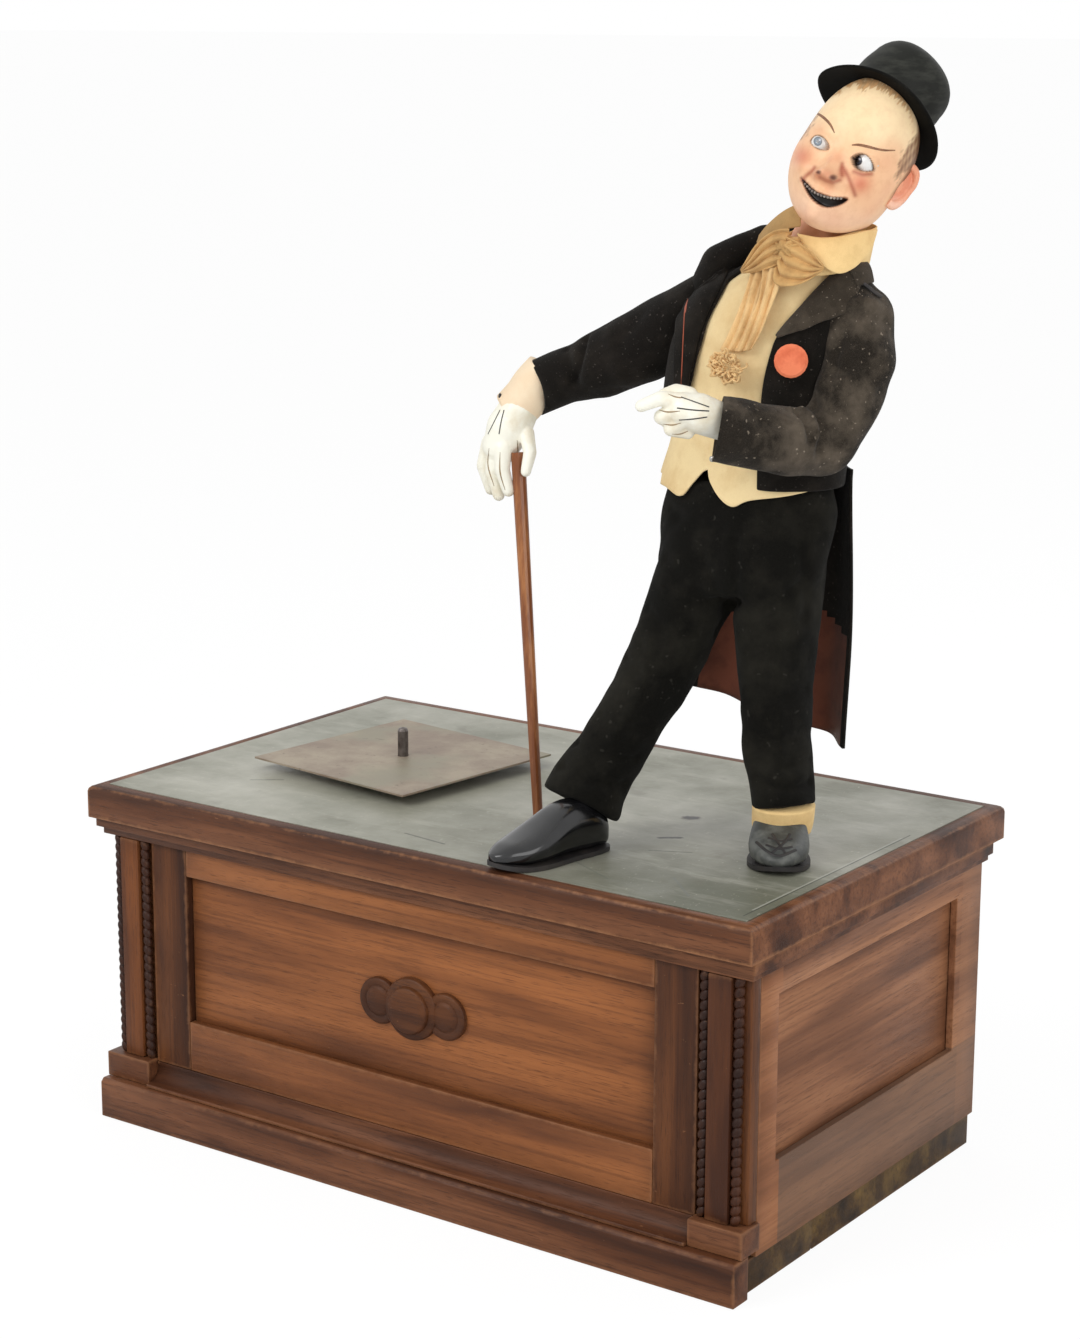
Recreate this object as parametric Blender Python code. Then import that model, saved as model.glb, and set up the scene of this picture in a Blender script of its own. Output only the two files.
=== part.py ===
# Shop display automaton: a dandy figure on a panelled cabinet with a clockwork movement.
# Metres, +Z up. The origin is the middle of the cabinet's footprint, the front faces -Y.
from math import atan2, cos, exp, pi, radians, sin, sqrt

import bmesh
import bpy
from mathutils import Matrix, Vector

# Fits and clearances
gap = 0.0003            # between pieces that touch
running = 0.0006        # round a shaft in its bore
swing = 0.0010          # between cloth pieces that move against each other

# Cabinet
slab_width = 0.610
slab_depth = 0.3726
slab_thick = 0.026
slab_reach_side, slab_reach_front, slab_reach_rear = 0.010, 0.0163, 0.0151
cabinet_height = 0.274
slab_round = 0.005
cloth_border = 0.012
cloth_thick = 0.001
body_half = slab_width / 2 - slab_reach_side
front_y = slab_reach_front - slab_depth / 2
rear_y = slab_depth / 2 - slab_reach_rear
board_thick = 0.025
board_inset = 0.0025
board_joint_y = -0.075
board_groove = 0.0015
cornice_height = 0.015
cornice_reach = 0.009
carcass_thick = 0.0195
front_thick = 0.014
panel_thick = 0.007
panel_rebate = 0.010
panel_recess = 0.0062
pilaster_wide = 0.0414
stile_wide = 0.0359
stile_outer = body_half - pilaster_wide
stile_inner = stile_outer - stile_wide
rail_top_wide = 0.0375
rail_bottom_low = 0.0507
rail_bottom_high = 0.091
side_stile_front = 0.024
side_stile_rear = 0.0392
side_rail_top_wide = 0.0366
side_rail_bottom_high = 0.0885
plinth_height = 0.032
plinth_reach = 0.0195
plinth_half = body_half + 0.003
block_height = 0.0203
block_reach = 0.0105
bead_radius = 0.0062
bead_lobes = 3
bead_bump = 0.0080
bead_depth = 0.20
bead_outer_x = body_half - 0.0045
bead_inner_x = stile_outer + 0.0060
strip_reach = 0.0045
rosette_x = 0.002
rosette_z = 0.148
rosette_radius = 0.024
rosette_side_radius = 0.018
rosette_side_offset = 0.031
door_half = body_half - 0.095
door_low = 0.060
door_head = 0.033       # from the doorway's top to the slab
door_thick = 0.012
hinge_knuckle = 0.0030
hinge_pin = 0.0012
hinge_length = 0.036
hinge_inset = 0.032

# Clockwork movement
cam_y, cam_z = 0.0, 0.125
gear_module = 0.002
wheel_teeth, pinion_teeth, crown_teeth = 48, 12, 36
fly_module = 0.0015
fly_wheel_teeth, fly_pinion_teeth = 40, 10
gear_thick = 0.004
tooth_foot, tooth_tip = 0.235, 0.100    # half a tooth's width as a share of the pitch
barrel_radius = 0.040
barrel_length = 0.034
barrel_drop = 0.020
fly_drop = 0.0225
fly_blade = 0.021
arbor_radius = 0.004
clutch_radius, clutch_gap = 0.0065, 0.0008
camshaft_radius = 0.0032
fly_arbor = 0.002
plate_left_x, plate_right_x = -0.231, -0.0865
plate_thick = 0.003
plate_front_y, plate_rear_y = -0.058, 0.112
plate_top_z = 0.172
pillar_radius = 0.004
crank_length = 0.050
crank_gap = 0.0085      # from the cabinet's side to the crank's arm
crank_thick = 0.006
knob_length = 0.028
knob_radius = 0.009
spindle_x, spindle_y = -0.136, 0.0
spindle_radius = 0.00425
spindle_top = 0.034     # above the cabinet's top
display_side = 0.168
display_thick = 0.0015
display_lift = 0.009    # underside above the cabinet's top
display_turn = -7.0
bridge_z = 0.1605
bridge_thick = 0.005
bridge_half = 0.010

# Cam followers and rods
cam_radius, cam_throw = 0.0235, 0.005
lever_pivot_y = 0.100
lever_high, lever_wide = 0.008, 0.006
lever_tip_y = -0.050
rod_radius = 0.0020
rod_spread = 0.0055
rod_foot = Vector((0.236, -0.030, 0.250))
rod_aim = Vector((0.200, 0.006, 0.560))
head_rod_top, arm_rod_top = 0.640, 0.615
rod_travel = 0.012
bracket_room = 0.0065
bracket_thick = 0.003

# Figure: its points are measured over a cabinet of this half width and height, and move with the real one
figure_datum = Vector((0.295, 0, 0.274))
head_centre = Vector((0.2587, 0.0117, 0.7712))
head_up = Vector((0.2759, 0.2483, 0.9286)).normalized()
head_front = Vector((0.2151, -0.9576, 0.1918)).normalized()
head_left = head_up.cross(head_front).normalized()
head_wide, head_deep = 0.0385, 0.0410
head_tall, head_drop = 0.0540, 0.0540
chin_drop = 0.016
jaw_square = 2.5
neck_foot = Vector((0.2240, 0.0165, 0.6990))
neck_radius = 0.0165
collar_high = 0.0225
hat_axis = Vector((0.294, 0.749, 0.594)).normalized()
hat_seat = 0.0331
hat_brim = 0.0475
hat_crown = 0.0320
hat_height = 0.043
ear_place = (-0.0040, 0.0395, -0.0090)
ear_half = (0.0105, 0.0055, 0.0145)
smile_half, smile_upper, smile_lower, smile_curl = 0.0180, -0.0360, -0.0415, 0.0040
eye_radius = 0.0082
eye_spread, eye_rise, eye_set = 0.0175, -0.0040, 0.0287
shoulder_left = Vector((0.2600, 0.0130, 0.6660))
elbow_left = Vector((0.2640, -0.0160, 0.5770))
shoulder_right = Vector((0.1420, 0.0165, 0.6810))
elbow_right = Vector((0.0570, -0.0010, 0.6120))
cuff_right = Vector((0.0200, -0.0145, 0.5930))
arm_swing = 6.0
forearm_swing = 12.0
cane_top = Vector((0.0030, -0.0350, 0.5470))
cane_tip = Vector((0.0355, -0.0536, 0.2756))
cane_radius_top, cane_radius_tip = 0.0055, 0.0038
disc_radius = 0.0118
coat_thick = 0.0085
lapel_thick = 0.0022
shoulder_room, elbow_room = 0.0045, 0.0034    # growth that covers half a swing near the joint

# Derived places
figure_shift = Vector((body_half, 0, cabinet_height)) - figure_datum
slab_low = cabinet_height - slab_thick
cornice_low = slab_low - cornice_height
rail_top_low = slab_low - rail_top_wide
side_rail_top_low = slab_low - side_rail_top_wide
door_high = slab_low - door_head
inner_half = body_half - carcass_thick
front_back = front_y + front_thick
barrel_y = cam_y + sqrt((gear_module * (wheel_teeth + pinion_teeth) / 2) ** 2 - barrel_drop ** 2)
barrel_z = cam_z - barrel_drop
fly_reach = fly_module * (fly_wheel_teeth + fly_pinion_teeth) / 2
fly_y = cam_y - sqrt(fly_reach ** 2 - fly_drop ** 2)
fly_z = cam_z - fly_drop
crown_radius = gear_module * crown_teeth / 2
pinion_radius = gear_module * pinion_teeth / 2
shoe_floor = figure_datum.z + 2 * gap
rod_line = (rod_aim - rod_foot).normalized()
neck_line = (head_centre - neck_foot).normalized()
cane_line = (cane_top - cane_tip).normalized()
lever_low = cam_z + cam_radius + cam_throw + gap
lever_top = lever_low + lever_high
lever_pivot_z = lever_low + lever_high / 2


def clear_scene():
    for thing in list(bpy.data.objects):
        bpy.data.objects.remove(thing, do_unlink=True)


def finish(name, colour, roughness, metallic=0.0):
    made = bpy.data.materials.get(name)
    if made is None:
        made = bpy.data.materials.new(name)
        made.use_nodes = True
        shader = made.node_tree.nodes["Principled BSDF"]
        shader.inputs["Base Color"].default_value = (*colour, 1.0)
        shader.inputs["Roughness"].default_value = roughness
        shader.inputs["Metallic"].default_value = metallic
    return made


def panel_wood():
    return finish("panel_wood", (0.24, 0.10, 0.045), 0.45)


def dark_wood():
    return finish("dark_wood", (0.12, 0.045, 0.028), 0.45)


def bare_wood():
    return finish("bare_wood", (0.16, 0.10, 0.06), 0.8)


def leathercloth():
    return finish("leathercloth", (0.045, 0.06, 0.052), 0.4)


def brass():
    return finish("brass", (0.62, 0.44, 0.18), 0.35, 1.0)


def steel():
    return finish("steel", (0.30, 0.28, 0.27), 0.4, 1.0)


def rusty_steel():
    return finish("rusty_steel", (0.20, 0.13, 0.085), 0.6, 0.7)


def black_cloth():
    return finish("black_cloth", (0.012, 0.010, 0.010), 0.9)


def coat_cloth():
    return finish("coat_cloth", (0.022, 0.016, 0.016), 0.9)


def cream_cloth():
    return finish("cream_cloth", (0.72, 0.58, 0.36), 0.85)


def tan_cloth():
    return finish("tan_cloth", (0.62, 0.42, 0.21), 0.85)


def glove_paint():
    return finish("glove_paint", (0.78, 0.70, 0.52), 0.45)


def face_paint():
    return finish("face_paint", (0.80, 0.46, 0.28), 0.4)


def glass_white():
    return finish("glass_white", (0.85, 0.85, 0.82), 0.1)


def hat_felt():
    return finish("hat_felt", (0.02, 0.022, 0.022), 0.5)


def patent_leather():
    return finish("patent_leather", (0.008, 0.008, 0.010), 0.15)


def dull_leather():
    return finish("dull_leather", (0.05, 0.052, 0.055), 0.6)


def cane_wood():
    return finish("cane_wood", (0.28, 0.08, 0.03), 0.3)


def salmon_enamel():
    return finish("salmon_enamel", (0.62, 0.16, 0.10), 0.5)


def solid(name, points, faces, material):
    mesh = bpy.data.meshes.new(name)
    mesh.from_pydata([tuple(p) for p in points], [], faces)
    shape = bmesh.new()
    shape.from_mesh(mesh)
    bmesh.ops.recalc_face_normals(shape, faces=shape.faces)
    shape.to_mesh(mesh)
    shape.free()
    mesh.materials.append(material)
    made = bpy.data.objects.new(name, mesh)
    bpy.context.scene.collection.objects.link(made)
    return made


def smooth(thing, angle=35.0):
    thing.data.shade_smooth()
    thing.data.set_sharp_from_angle(angle=radians(angle))
    return thing


def box(name, low, high, material):
    points = [(x, y, z) for z in (low[2], high[2]) for y in (low[1], high[1]) for x in (low[0], high[0])]
    faces = [(0, 2, 3, 1), (4, 5, 7, 6), (0, 1, 5, 4), (2, 6, 7, 3), (0, 4, 6, 2), (1, 3, 7, 5)]
    return solid(name, points, faces, material)


def prism(name, outline, start, end, axis, material):
    # A flat outline extruded along one axis; its two numbers are the other two axes in order.
    def place(pair, height):
        point = list(pair)
        point.insert(axis, height)
        return point
    return loft(name, [[place(p, start) for p in outline], [place(p, end) for p in outline]], material)


def loft(name, rings, material):
    count = len(rings[0])
    points = [p for ring in rings for p in ring]
    faces = []
    for level in range(len(rings) - 1):
        base = level * count
        for k in range(count):
            nxt = (k + 1) % count
            faces.append((base + k, base + nxt, base + count + nxt, base + count + k))
    faces.append(tuple(range(count)))
    faces.append(tuple(range(len(points) - count, len(points))))
    return smooth(solid(name, points, faces, material))


def square_axes(direction):
    along = Vector(direction).normalized()
    guide = Vector((0, 0, 1)) if abs(along.z) < 0.9 else Vector((0, 1, 0))
    across = guide.cross(along).normalized()
    return along, across, along.cross(across)


def ring_at(centre, across, upward, wide, high, sides):
    turns = [2 * pi * k / sides for k in range(sides)]
    return [centre + across * (wide * cos(t)) + upward * (high * sin(t)) for t in turns]


def cylinder(name, start, end, radius, material, sides=24, end_radius=None):
    start, end = Vector(start), Vector(end)
    along, across, upward = square_axes(end - start)
    last = radius if end_radius is None else end_radius
    rings = [ring_at(start, across, upward, radius, radius, sides)]
    rings.append(ring_at(end, across, upward, last, last, sides))
    return loft(name, rings, material)


def turned(name, profile, origin, direction, material, sides=32):
    # A profile of (radius, height) pairs; a first or last radius of nought closes in a point.
    along, across, upward = square_axes(direction)
    origin = Vector(origin)
    body = [pair for pair in profile if pair[0] > 0]
    points = [p for r, h in body for p in ring_at(origin + along * h, across, upward, r, r, sides)]
    faces = []
    for level in range(len(body) - 1):
        base = level * sides
        for k in range(sides):
            nxt = (k + 1) % sides
            faces.append((base + k, base + nxt, base + sides + nxt, base + sides + k))
    for end, first in ((0, 0), (-1, len(points) - sides)):
        loop = [first + k for k in range(sides)]
        if profile[end][0] > 0:
            faces.append(tuple(loop))
        else:
            points.append(origin + along * profile[end][1])
            tip = len(points) - 1
            faces.extend((loop[k], loop[(k + 1) % sides], tip) for k in range(sides))
    return smooth(solid(name, points, faces, material))


def hollow_turned(name, profile, origin, direction, material, sides=32):
    # A closed profile that stays off the axis, spun into a ring.
    along, across, upward = square_axes(direction)
    origin = Vector(origin)
    points = [p for r, h in profile for p in ring_at(origin + along * h, across, upward, r, r, sides)]
    count = len(profile)
    faces = []
    for level in range(count):
        base, over = level * sides, (level + 1) % count * sides
        for k in range(sides):
            nxt = (k + 1) % sides
            faces.append((base + k, base + nxt, over + nxt, over + k))
    return smooth(solid(name, points, faces, material))


def curve_through(points, steps):
    # A smooth curve through the points, as a Catmull-Rom spline.
    points = [Vector(p) for p in points]
    padded = [2 * points[0] - points[1], *points, 2 * points[-1] - points[-2]]
    out = []
    for a, b, c, d in zip(padded, padded[1:], padded[2:], padded[3:]):
        for k in range(steps):
            t = k / steps
            out.append(0.5 * (2 * b + (c - a) * t + (2 * a - 5 * b + 4 * c - d) * t ** 2
                              + (3 * b - a - 3 * c + d) * t ** 3))
    out.append(points[-1])
    return out


def limb(name, points, radii, material, sides=12, steps=3, grow=0.0, round_ends=(True, True), flat=1.0):
    # A round or flattened tube along a curve, with domed or square ends.
    path = curve_through(points, steps)
    count = len(path)
    spread = [Vector((r, 0, 0)) for r in radii]
    sizes = [v.x + grow for v in curve_through(spread, steps)]
    along = [(path[min(k + 1, count - 1)] - path[max(k - 1, 0)]).normalized() for k in range(count)]
    if not round_ends[1]:
        path[-1] = path[-1] + along[-1] * grow
    across = square_axes(along[0])[1]
    rings = []
    for k in range(count):
        across = (across - along[k] * across.dot(along[k])).normalized()
        upward = along[k].cross(across)
        if k == 0 and round_ends[0]:
            for turn in (64, 32):
                share = cos(radians(turn)), sin(radians(turn))
                centre = path[0] - along[0] * (sizes[0] * share[1])
                rings.append(ring_at(centre, across, upward, sizes[0] * share[0],
                                     sizes[0] * share[0] * flat, sides))
        rings.append(ring_at(path[k], across, upward, sizes[k], sizes[k] * flat, sides))
    if round_ends[1]:
        for turn in (32, 64):
            share = cos(radians(turn)), sin(radians(turn))
            centre = path[-1] + along[-1] * (sizes[-1] * share[1])
            rings.append(ring_at(centre, across, upward, sizes[-1] * share[0], sizes[-1] * share[0] * flat,
                                 sides))
    return loft(name, rings, material)


def layered(name, levels, material, sides=24, grow=0.0, fold=0.0, folds=5):
    # Level ellipses (z, x, y, half width, half depth) joined into one soft form.
    rings = []
    for z, x, y, wide, deep in levels:
        ring = []
        for k in range(sides):
            t = 2 * pi * k / sides
            crease = 1 + fold * cos(folds * t + 40 * z)
            ring.append(Vector((x + (wide * crease + grow) * cos(t), y + (deep * crease + grow) * sin(t), z)))
        rings.append(ring)
    return loft(name, rings, material)


def blended_levels(levels, steps):
    heads = curve_through([level[:3] for level in levels], steps)
    tails = curve_through([(level[3], level[4], 0) for level in levels], steps)
    return [(*h, t.x, t.y) for h, t in zip(heads, tails)]


def ball(name, centre, radius, material, sides=16, rings=10):
    profile = [(0, -radius)]
    profile += [(radius * sin(pi * k / rings), -radius * cos(pi * k / rings)) for k in range(1, rings)]
    profile.append((0, radius))
    return turned(name, profile, centre, (0, 0, 1), material, sides)


def triangulate(mesh):
    # Bent quads have no one plane, and a cut needs each face to have one.
    shape = bmesh.new()
    shape.from_mesh(mesh)
    bmesh.ops.triangulate(shape, faces=shape.faces)
    shape.to_mesh(mesh)
    shape.free()


def merge_flat(mesh):
    # Joins the slivers that a cut leaves in one plane.
    shape = bmesh.new()
    shape.from_mesh(mesh)
    bmesh.ops.dissolve_limit(shape, angle_limit=radians(0.05), verts=shape.verts, edges=shape.edges)
    shape.to_mesh(mesh)
    shape.free()


def bake(thing, operation, other):
    triangulate(thing.data)
    triangulate(other.data)
    step = thing.modifiers.new("step", "BOOLEAN")
    step.operation = operation
    step.object = other
    bpy.context.view_layer.update()
    graph = bpy.context.evaluated_depsgraph_get()
    result = bpy.data.meshes.new_from_object(thing.evaluated_get(graph), depsgraph=graph)
    thing.modifiers.clear()
    old = thing.data
    material = old.materials[0]
    merge_flat(result)
    thing.data = result
    bpy.data.meshes.remove(old)
    result.materials.clear()
    result.materials.append(material)
    for face in result.polygons:
        face.material_index = 0
    bpy.data.objects.remove(other, do_unlink=True)
    return thing


def cut(thing, *cutters):
    for cutter in cutters:
        bake(thing, "DIFFERENCE", cutter)
    return thing


def join(thing, *others):
    for other in others:
        bake(thing, "UNION", other)
    return thing


def trim(thing, low, high):
    return bake(thing, "INTERSECT", box("keep", low, high, thing.data.materials[0]))


def turn_about(thing, point, axis, degrees):
    point = Vector(point)
    spin = Matrix.Translation(point) @ Matrix.Rotation(radians(degrees), 4,
                                                       Vector(axis)) @ Matrix.Translation(-point)
    thing.data.transform(spin)
    return thing


def hang_on(thing, point):
    # Puts a moving piece's origin on its joint's axis.
    thing.data.transform(Matrix.Translation(-Vector(point)))
    thing.location = point
    return thing


# Cabinet

def make_top():
    half, deep = slab_width / 2, slab_depth / 2
    slab = box("top_board", (-half, -deep, slab_low), (half, deep, cabinet_height), dark_wood())
    edge = slab.modifiers.new("worn_edge", "BEVEL")
    edge.width = slab_round
    edge.segments = 3
    edge.limit_method = "WEIGHT"
    weights = slab.data.attributes.new("bevel_weight_edge", "FLOAT", "EDGE")
    for k, line in enumerate(slab.data.edges):
        ends = [slab.data.vertices[v].co.z for v in line.vertices]
        weights.data[k].value = 1.0 if min(ends) > slab_low + gap else 0.0
    x, y = half - cloth_border, deep - cloth_border
    floor = cabinet_height - cloth_thick
    bake(slab, "DIFFERENCE", box("recess", (-x, -y, floor), (x, y, cabinet_height + 0.01), dark_wood()))
    cloth = box("top_leathercloth", (-x + gap, -y + gap, floor + gap),
                (x - gap, y - gap, cabinet_height + gap),
                leathercloth())
    post = (spindle_x, spindle_y)
    for board in (slab, cloth):
        cut(board, cylinder("bore", (*post, slab_low - 0.01), (*post, cabinet_height + 0.01),
                            spindle_radius + running, steel()))
        for bore in rod_bores(figure_datum.z - 2 * slab_thick, figure_datum.z + slab_thick):
            bore.data.transform(Matrix.Translation(figure_shift))
            cut(board, bore)


def rod_at(z, side):
    # A point on a rod's slanted line at height z; side is -1 for the head rod and 1 for the arm rod.
    point = rod_foot + rod_line * ((z - rod_foot.z) / rod_line.z)
    return point + Vector((side * rod_spread, 0, 0))


def rod_spot(z, side):
    # The same in the real cabinet, for a height z over its floor.
    return rod_at(z - figure_shift.z, side) + figure_shift


def rod_bores(low, high):
    bores = []
    for side, top in ((-1, head_rod_top), (1, arm_rod_top)):
        end = min(high, top + rod_travel)
        if end > low:
            bores.append(cylinder("rod_bore", rod_at(low, side), rod_at(end, side), rod_radius + running,
                                  steel(), 10))
    return bores


def make_cornice():
    # One moulding that wraps the front and both sides under the slab.
    outer = body_half + cornice_reach
    front = front_y - cornice_reach
    lift = cornice_low + 0.4 * cornice_height
    half = slab_low - gap
    cornice = box("cornice", (-outer, front, lift), (outer, rear_y, half), dark_wood())
    bead = cornice_reach * 0.45
    join(cornice, box("bead", (-outer + bead, front + bead, cornice_low),
                      (outer - bead, rear_y, lift + 0.001),
                      dark_wood()))
    inner = body_half + gap
    cut(cornice, box("inside", (-inner, front_y - gap, cornice_low - 0.01),
                     (inner, rear_y + 0.01, half + 0.01),
                     dark_wood()))


def make_front_frame():
    for side, label in ((-1, "left"), (1, "right")):
        a, b = sorted((side * (stile_inner + gap / 2), side * (stile_outer - gap / 2)))
        box(f"front_stile_{label}", (a, front_y, rail_bottom_low), (b, front_back, slab_low - gap),
            panel_wood())
    reach = stile_inner - gap / 2
    for label, low, high in (("top", rail_top_low, slab_low - gap),
                             ("bottom", rail_bottom_low, rail_bottom_high)):
        rail = box(f"front_rail_{label}", (-reach, front_y, low), (reach, front_back, high), panel_wood())
        inner = (low, low + panel_rebate) if label == "top" else (high - panel_rebate, high)
        cut(rail, box("rebate", (-reach - 0.01, front_y + panel_recess, inner[0] - gap),
                      (reach + 0.01, front_back + 0.01, inner[1] + gap), panel_wood()))
    low, high = rail_bottom_high - panel_rebate + 2 * gap, rail_top_low + panel_rebate - 2 * gap
    back = front_y + panel_recess + gap
    box("front_panel", (-reach + gap, back, low), (reach - gap, back + panel_thick, high), panel_wood())


def make_rosette():
    face = front_y + panel_recess
    hub = [(rosette_radius * r, h) for r, h in ((1.0, 0), (1.0, 0.004), (0.93, 0.006), (0.78, 0.006),
                                               (0.72, 0.0075), (0.66, 0.0095), (0.45, 0.0105), (0, 0.0105))]
    wing = [(rosette_side_radius * r, h) for r, h in ((1.0, 0), (1.0, 0.003), (0.9, 0.0045), (0.55, 0.0045),
                                                     (0.45, 0.0055), (0, 0.0055))]
    rosette = turned("rosette", hub, (rosette_x, face, rosette_z), (0, -1, 0), dark_wood(), 24)
    for side in (-1, 1):
        place = (rosette_x + side * rosette_side_offset, face, rosette_z)
        join(rosette, turned("wing", wing, place, (0, -1, 0), dark_wood(), 20))


def rope_bead(x, low, high):
    # A twisted moulding: a lobed section that turns as it rises.
    rings = []
    sides = 2 * bead_lobes
    levels = round((high - low) / bead_bump * 2)
    for k in range(levels + 1):
        z = low + (high - low) * k / levels
        twist = 2 * pi * (z - low) / (bead_bump * bead_lobes)
        ring = []
        for s in range(sides):
            r = bead_radius * (1.0 if s % 2 == 0 else 1 - bead_depth)
            t = 2 * pi * s / sides + twist
            ring.append(Vector((x + r * cos(t), front_y + r * sin(t), z)))
        rings.append(ring)
    return loft("rope_bead", rings, dark_wood())


def make_pilasters():
    low, high = plinth_height + block_height + gap, cornice_low - gap
    for side, label in ((-1, "left"), (1, "right")):
        a, b = sorted((side * (stile_outer + gap / 2), side * body_half))
        pilaster = box(f"pilaster_{label}", (a, front_y + bead_radius / 2, low), (b, front_back, high),
                       panel_wood())
        c, d = sorted((side * (bead_inner_x + bead_radius), side * (bead_outer_x - bead_radius)))
        join(pilaster, box("strip", (c, front_y - strip_reach, low), (d, front_back - 0.001, high),
                           panel_wood()))
        for x in (bead_inner_x, bead_outer_x):
            join(pilaster, rope_bead(side * x, low, high))
        trim(pilaster, (a, front_y - 0.02, low), (b + (0.002 if side > 0 else 0), front_back, high))
        a, b = sorted((side * (stile_outer + gap / 2), side * plinth_half))
        box(f"pilaster_block_{label}", (a, front_y - block_reach, plinth_height + gap),
            (b, front_back, low - gap), dark_wood())


def make_plinth():
    low_y = front_y - plinth_reach
    rise = plinth_height
    outline = [(low_y, 0), (low_y, rise - 0.003), (low_y + 0.003, rise), (front_y - gap, rise),
               (front_y - gap, 0)]
    prism("plinth_board", outline, -plinth_half, plinth_half, 0, dark_wood())
    reach = stile_outer - gap / 2
    foot, head = rise + gap, rail_bottom_low - gap
    step = (head - foot) / 6
    hollow = [(front_y - 0.012 + 0.012 * sin(pi / 2 * k / 5),
               foot + step + 4 * step * (1 - cos(pi / 2 * k / 5)))
              for k in range(6)]
    outline = [(front_back, foot), (front_y - 0.014, foot), (front_y - 0.014, foot + step), *hollow,
               (front_y - 0.0005, head), (front_back, head)]
    prism("plinth_moulding", outline, -reach, reach, 0, dark_wood())


def make_sides():
    inner, outer = inner_half, body_half
    front = front_back + gap
    low, high = board_thick + gap, slab_low - gap
    open_y = (front + side_stile_front, rear_y - side_stile_rear)
    open_z = (side_rail_bottom_high, side_rail_top_low)
    for side, label in ((-1, "left"), (1, "right")):
        a, b = sorted((side * inner, side * outer))
        frame = box(f"side_frame_{label}", (a, front, low), (b, rear_y, high), panel_wood())
        cut(frame, box("opening", (a - 0.01, open_y[0], open_z[0]), (b + 0.01, open_y[1], open_z[1]),
                       panel_wood()))
        wide_y = (open_y[0] - panel_rebate, open_y[1] + panel_rebate)
        wide_z = (open_z[0] - panel_rebate, open_z[1] + panel_rebate)
        c, d = sorted((side * (inner - 0.01), side * (outer - panel_recess)))
        cut(frame, box("rebate", (c, wide_y[0], wide_z[0]), (d, wide_y[1], wide_z[1]), panel_wood()))
        e, f = sorted((side * (outer - panel_recess - gap),
                       side * (outer - panel_recess - gap - panel_thick)))
        panel = box(f"side_panel_{label}", (e, wide_y[0] + gap, wide_z[0] + gap),
                    (f, wide_y[1] - gap, wide_z[1] - gap), panel_wood())
        if side < 0:
            cut(panel, cylinder("arbor_hole", (e - 0.01, barrel_y, barrel_z), (f + 0.01, barrel_y, barrel_z),
                                arbor_radius + running, steel()))


def make_floor_board():
    # Two boards glued edge to edge; the joint shows as a shallow groove above and below.
    half = body_half - board_inset
    board = box("bottom_board", (-half, front_y + gap, 0), (half, rear_y - board_inset, board_thick),
                bare_wood())
    for low, high in ((-0.01, board_groove), (board_thick - board_groove, board_thick + 0.01)):
        cut(board, box("joint_line", (-half - 0.01, board_joint_y, low),
                       (half + 0.01, board_joint_y + board_groove, high), bare_wood()))


def hinge_at(z):
    # One butt hinge: its leaf and middle knuckle go with the door, the rest with the frame.
    axis_x, axis_y = door_half - gap, rear_y + hinge_knuckle
    third = hinge_length / 3
    low = z - hinge_length / 2
    leaf_y = (rear_y - 0.001, rear_y + 0.0012)
    moving = box("leaf", (axis_x - 0.014, leaf_y[0], low + third + gap), (axis_x - 0.001, leaf_y[1],
                 low + 2 * third - gap), brass())
    join(moving, cylinder("knuckle", (axis_x, axis_y, low + third + gap),
                          (axis_x, axis_y, low + 2 * third - gap),
                          hinge_knuckle - gap, brass(), 14))
    fixed = cylinder("pin", (axis_x, axis_y, low), (axis_x, axis_y, low + hinge_length), hinge_pin, brass(),
                     10)
    for k in (0, 2):
        a, b = low + k * third, low + (k + 1) * third
        join(fixed, cylinder("knuckle", (axis_x, axis_y, a), (axis_x, axis_y, b), hinge_knuckle - gap,
                             brass(), 14))
        join(fixed, box("leaf", (axis_x + 0.001, leaf_y[0], a), (axis_x + 0.014, leaf_y[1], b), brass()))
    return moving, fixed


def make_rear():
    inner, low, high = inner_half - gap, board_thick + gap, slab_low - gap
    front = rear_y - carcass_thick
    frame = box("rear_frame", (-inner, front, low), (inner, rear_y, high), bare_wood())
    cut(frame, box("doorway", (-door_half, front - 0.01, door_low), (door_half, rear_y + 0.01, door_high),
                   brass()))
    edge = 2 * gap
    door = box("rear_door", (-door_half + edge, rear_y - door_thick, door_low + edge),
               (door_half - edge, rear_y, door_high - edge), bare_wood())
    axis_x, axis_y = door_half - gap, rear_y + hinge_knuckle
    for z in (door_low + hinge_inset, door_high - hinge_inset):
        moving, fixed = hinge_at(z)
        join(door, moving)
        bore = hinge_pin + running
        cut(door, cylinder("pin_bore", (axis_x, axis_y, z - hinge_length), (axis_x, axis_y, z + hinge_length),
                           bore, brass(), 12))
        join(frame, fixed)
    hang_on(door, (axis_x, axis_y, 0))
    knob = [(0.005, 0), (0.005, 0.006), (0.009, 0.010), (0.010, 0.014), (0.007, 0.018), (0, 0.019)]
    middle = (door_low + door_high) / 2
    hang_on(turned("rear_door_knob", knob, (-door_half + 0.025, rear_y + gap, middle), (0, 1, 0), brass(),
                   20),
            (axis_x, axis_y, 0))


# Clockwork movement

def gear_outline(module, teeth):
    # A trapezoid tooth each pitch, thinner than half the pitch so that the mesh keeps its backlash.
    pitch = 2 * pi / teeth
    radius = module * teeth / 2
    root, tip = radius - 1.15 * module, radius + 0.85 * module
    outline = []
    for k in range(teeth):
        t = k * pitch
        for r, share in ((root, -tooth_foot), (tip, -tooth_tip), (tip, tooth_tip), (root, tooth_foot)):
            angle = t + share * pitch
            outline.append((r * cos(angle), r * sin(angle)))
    return outline


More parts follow.
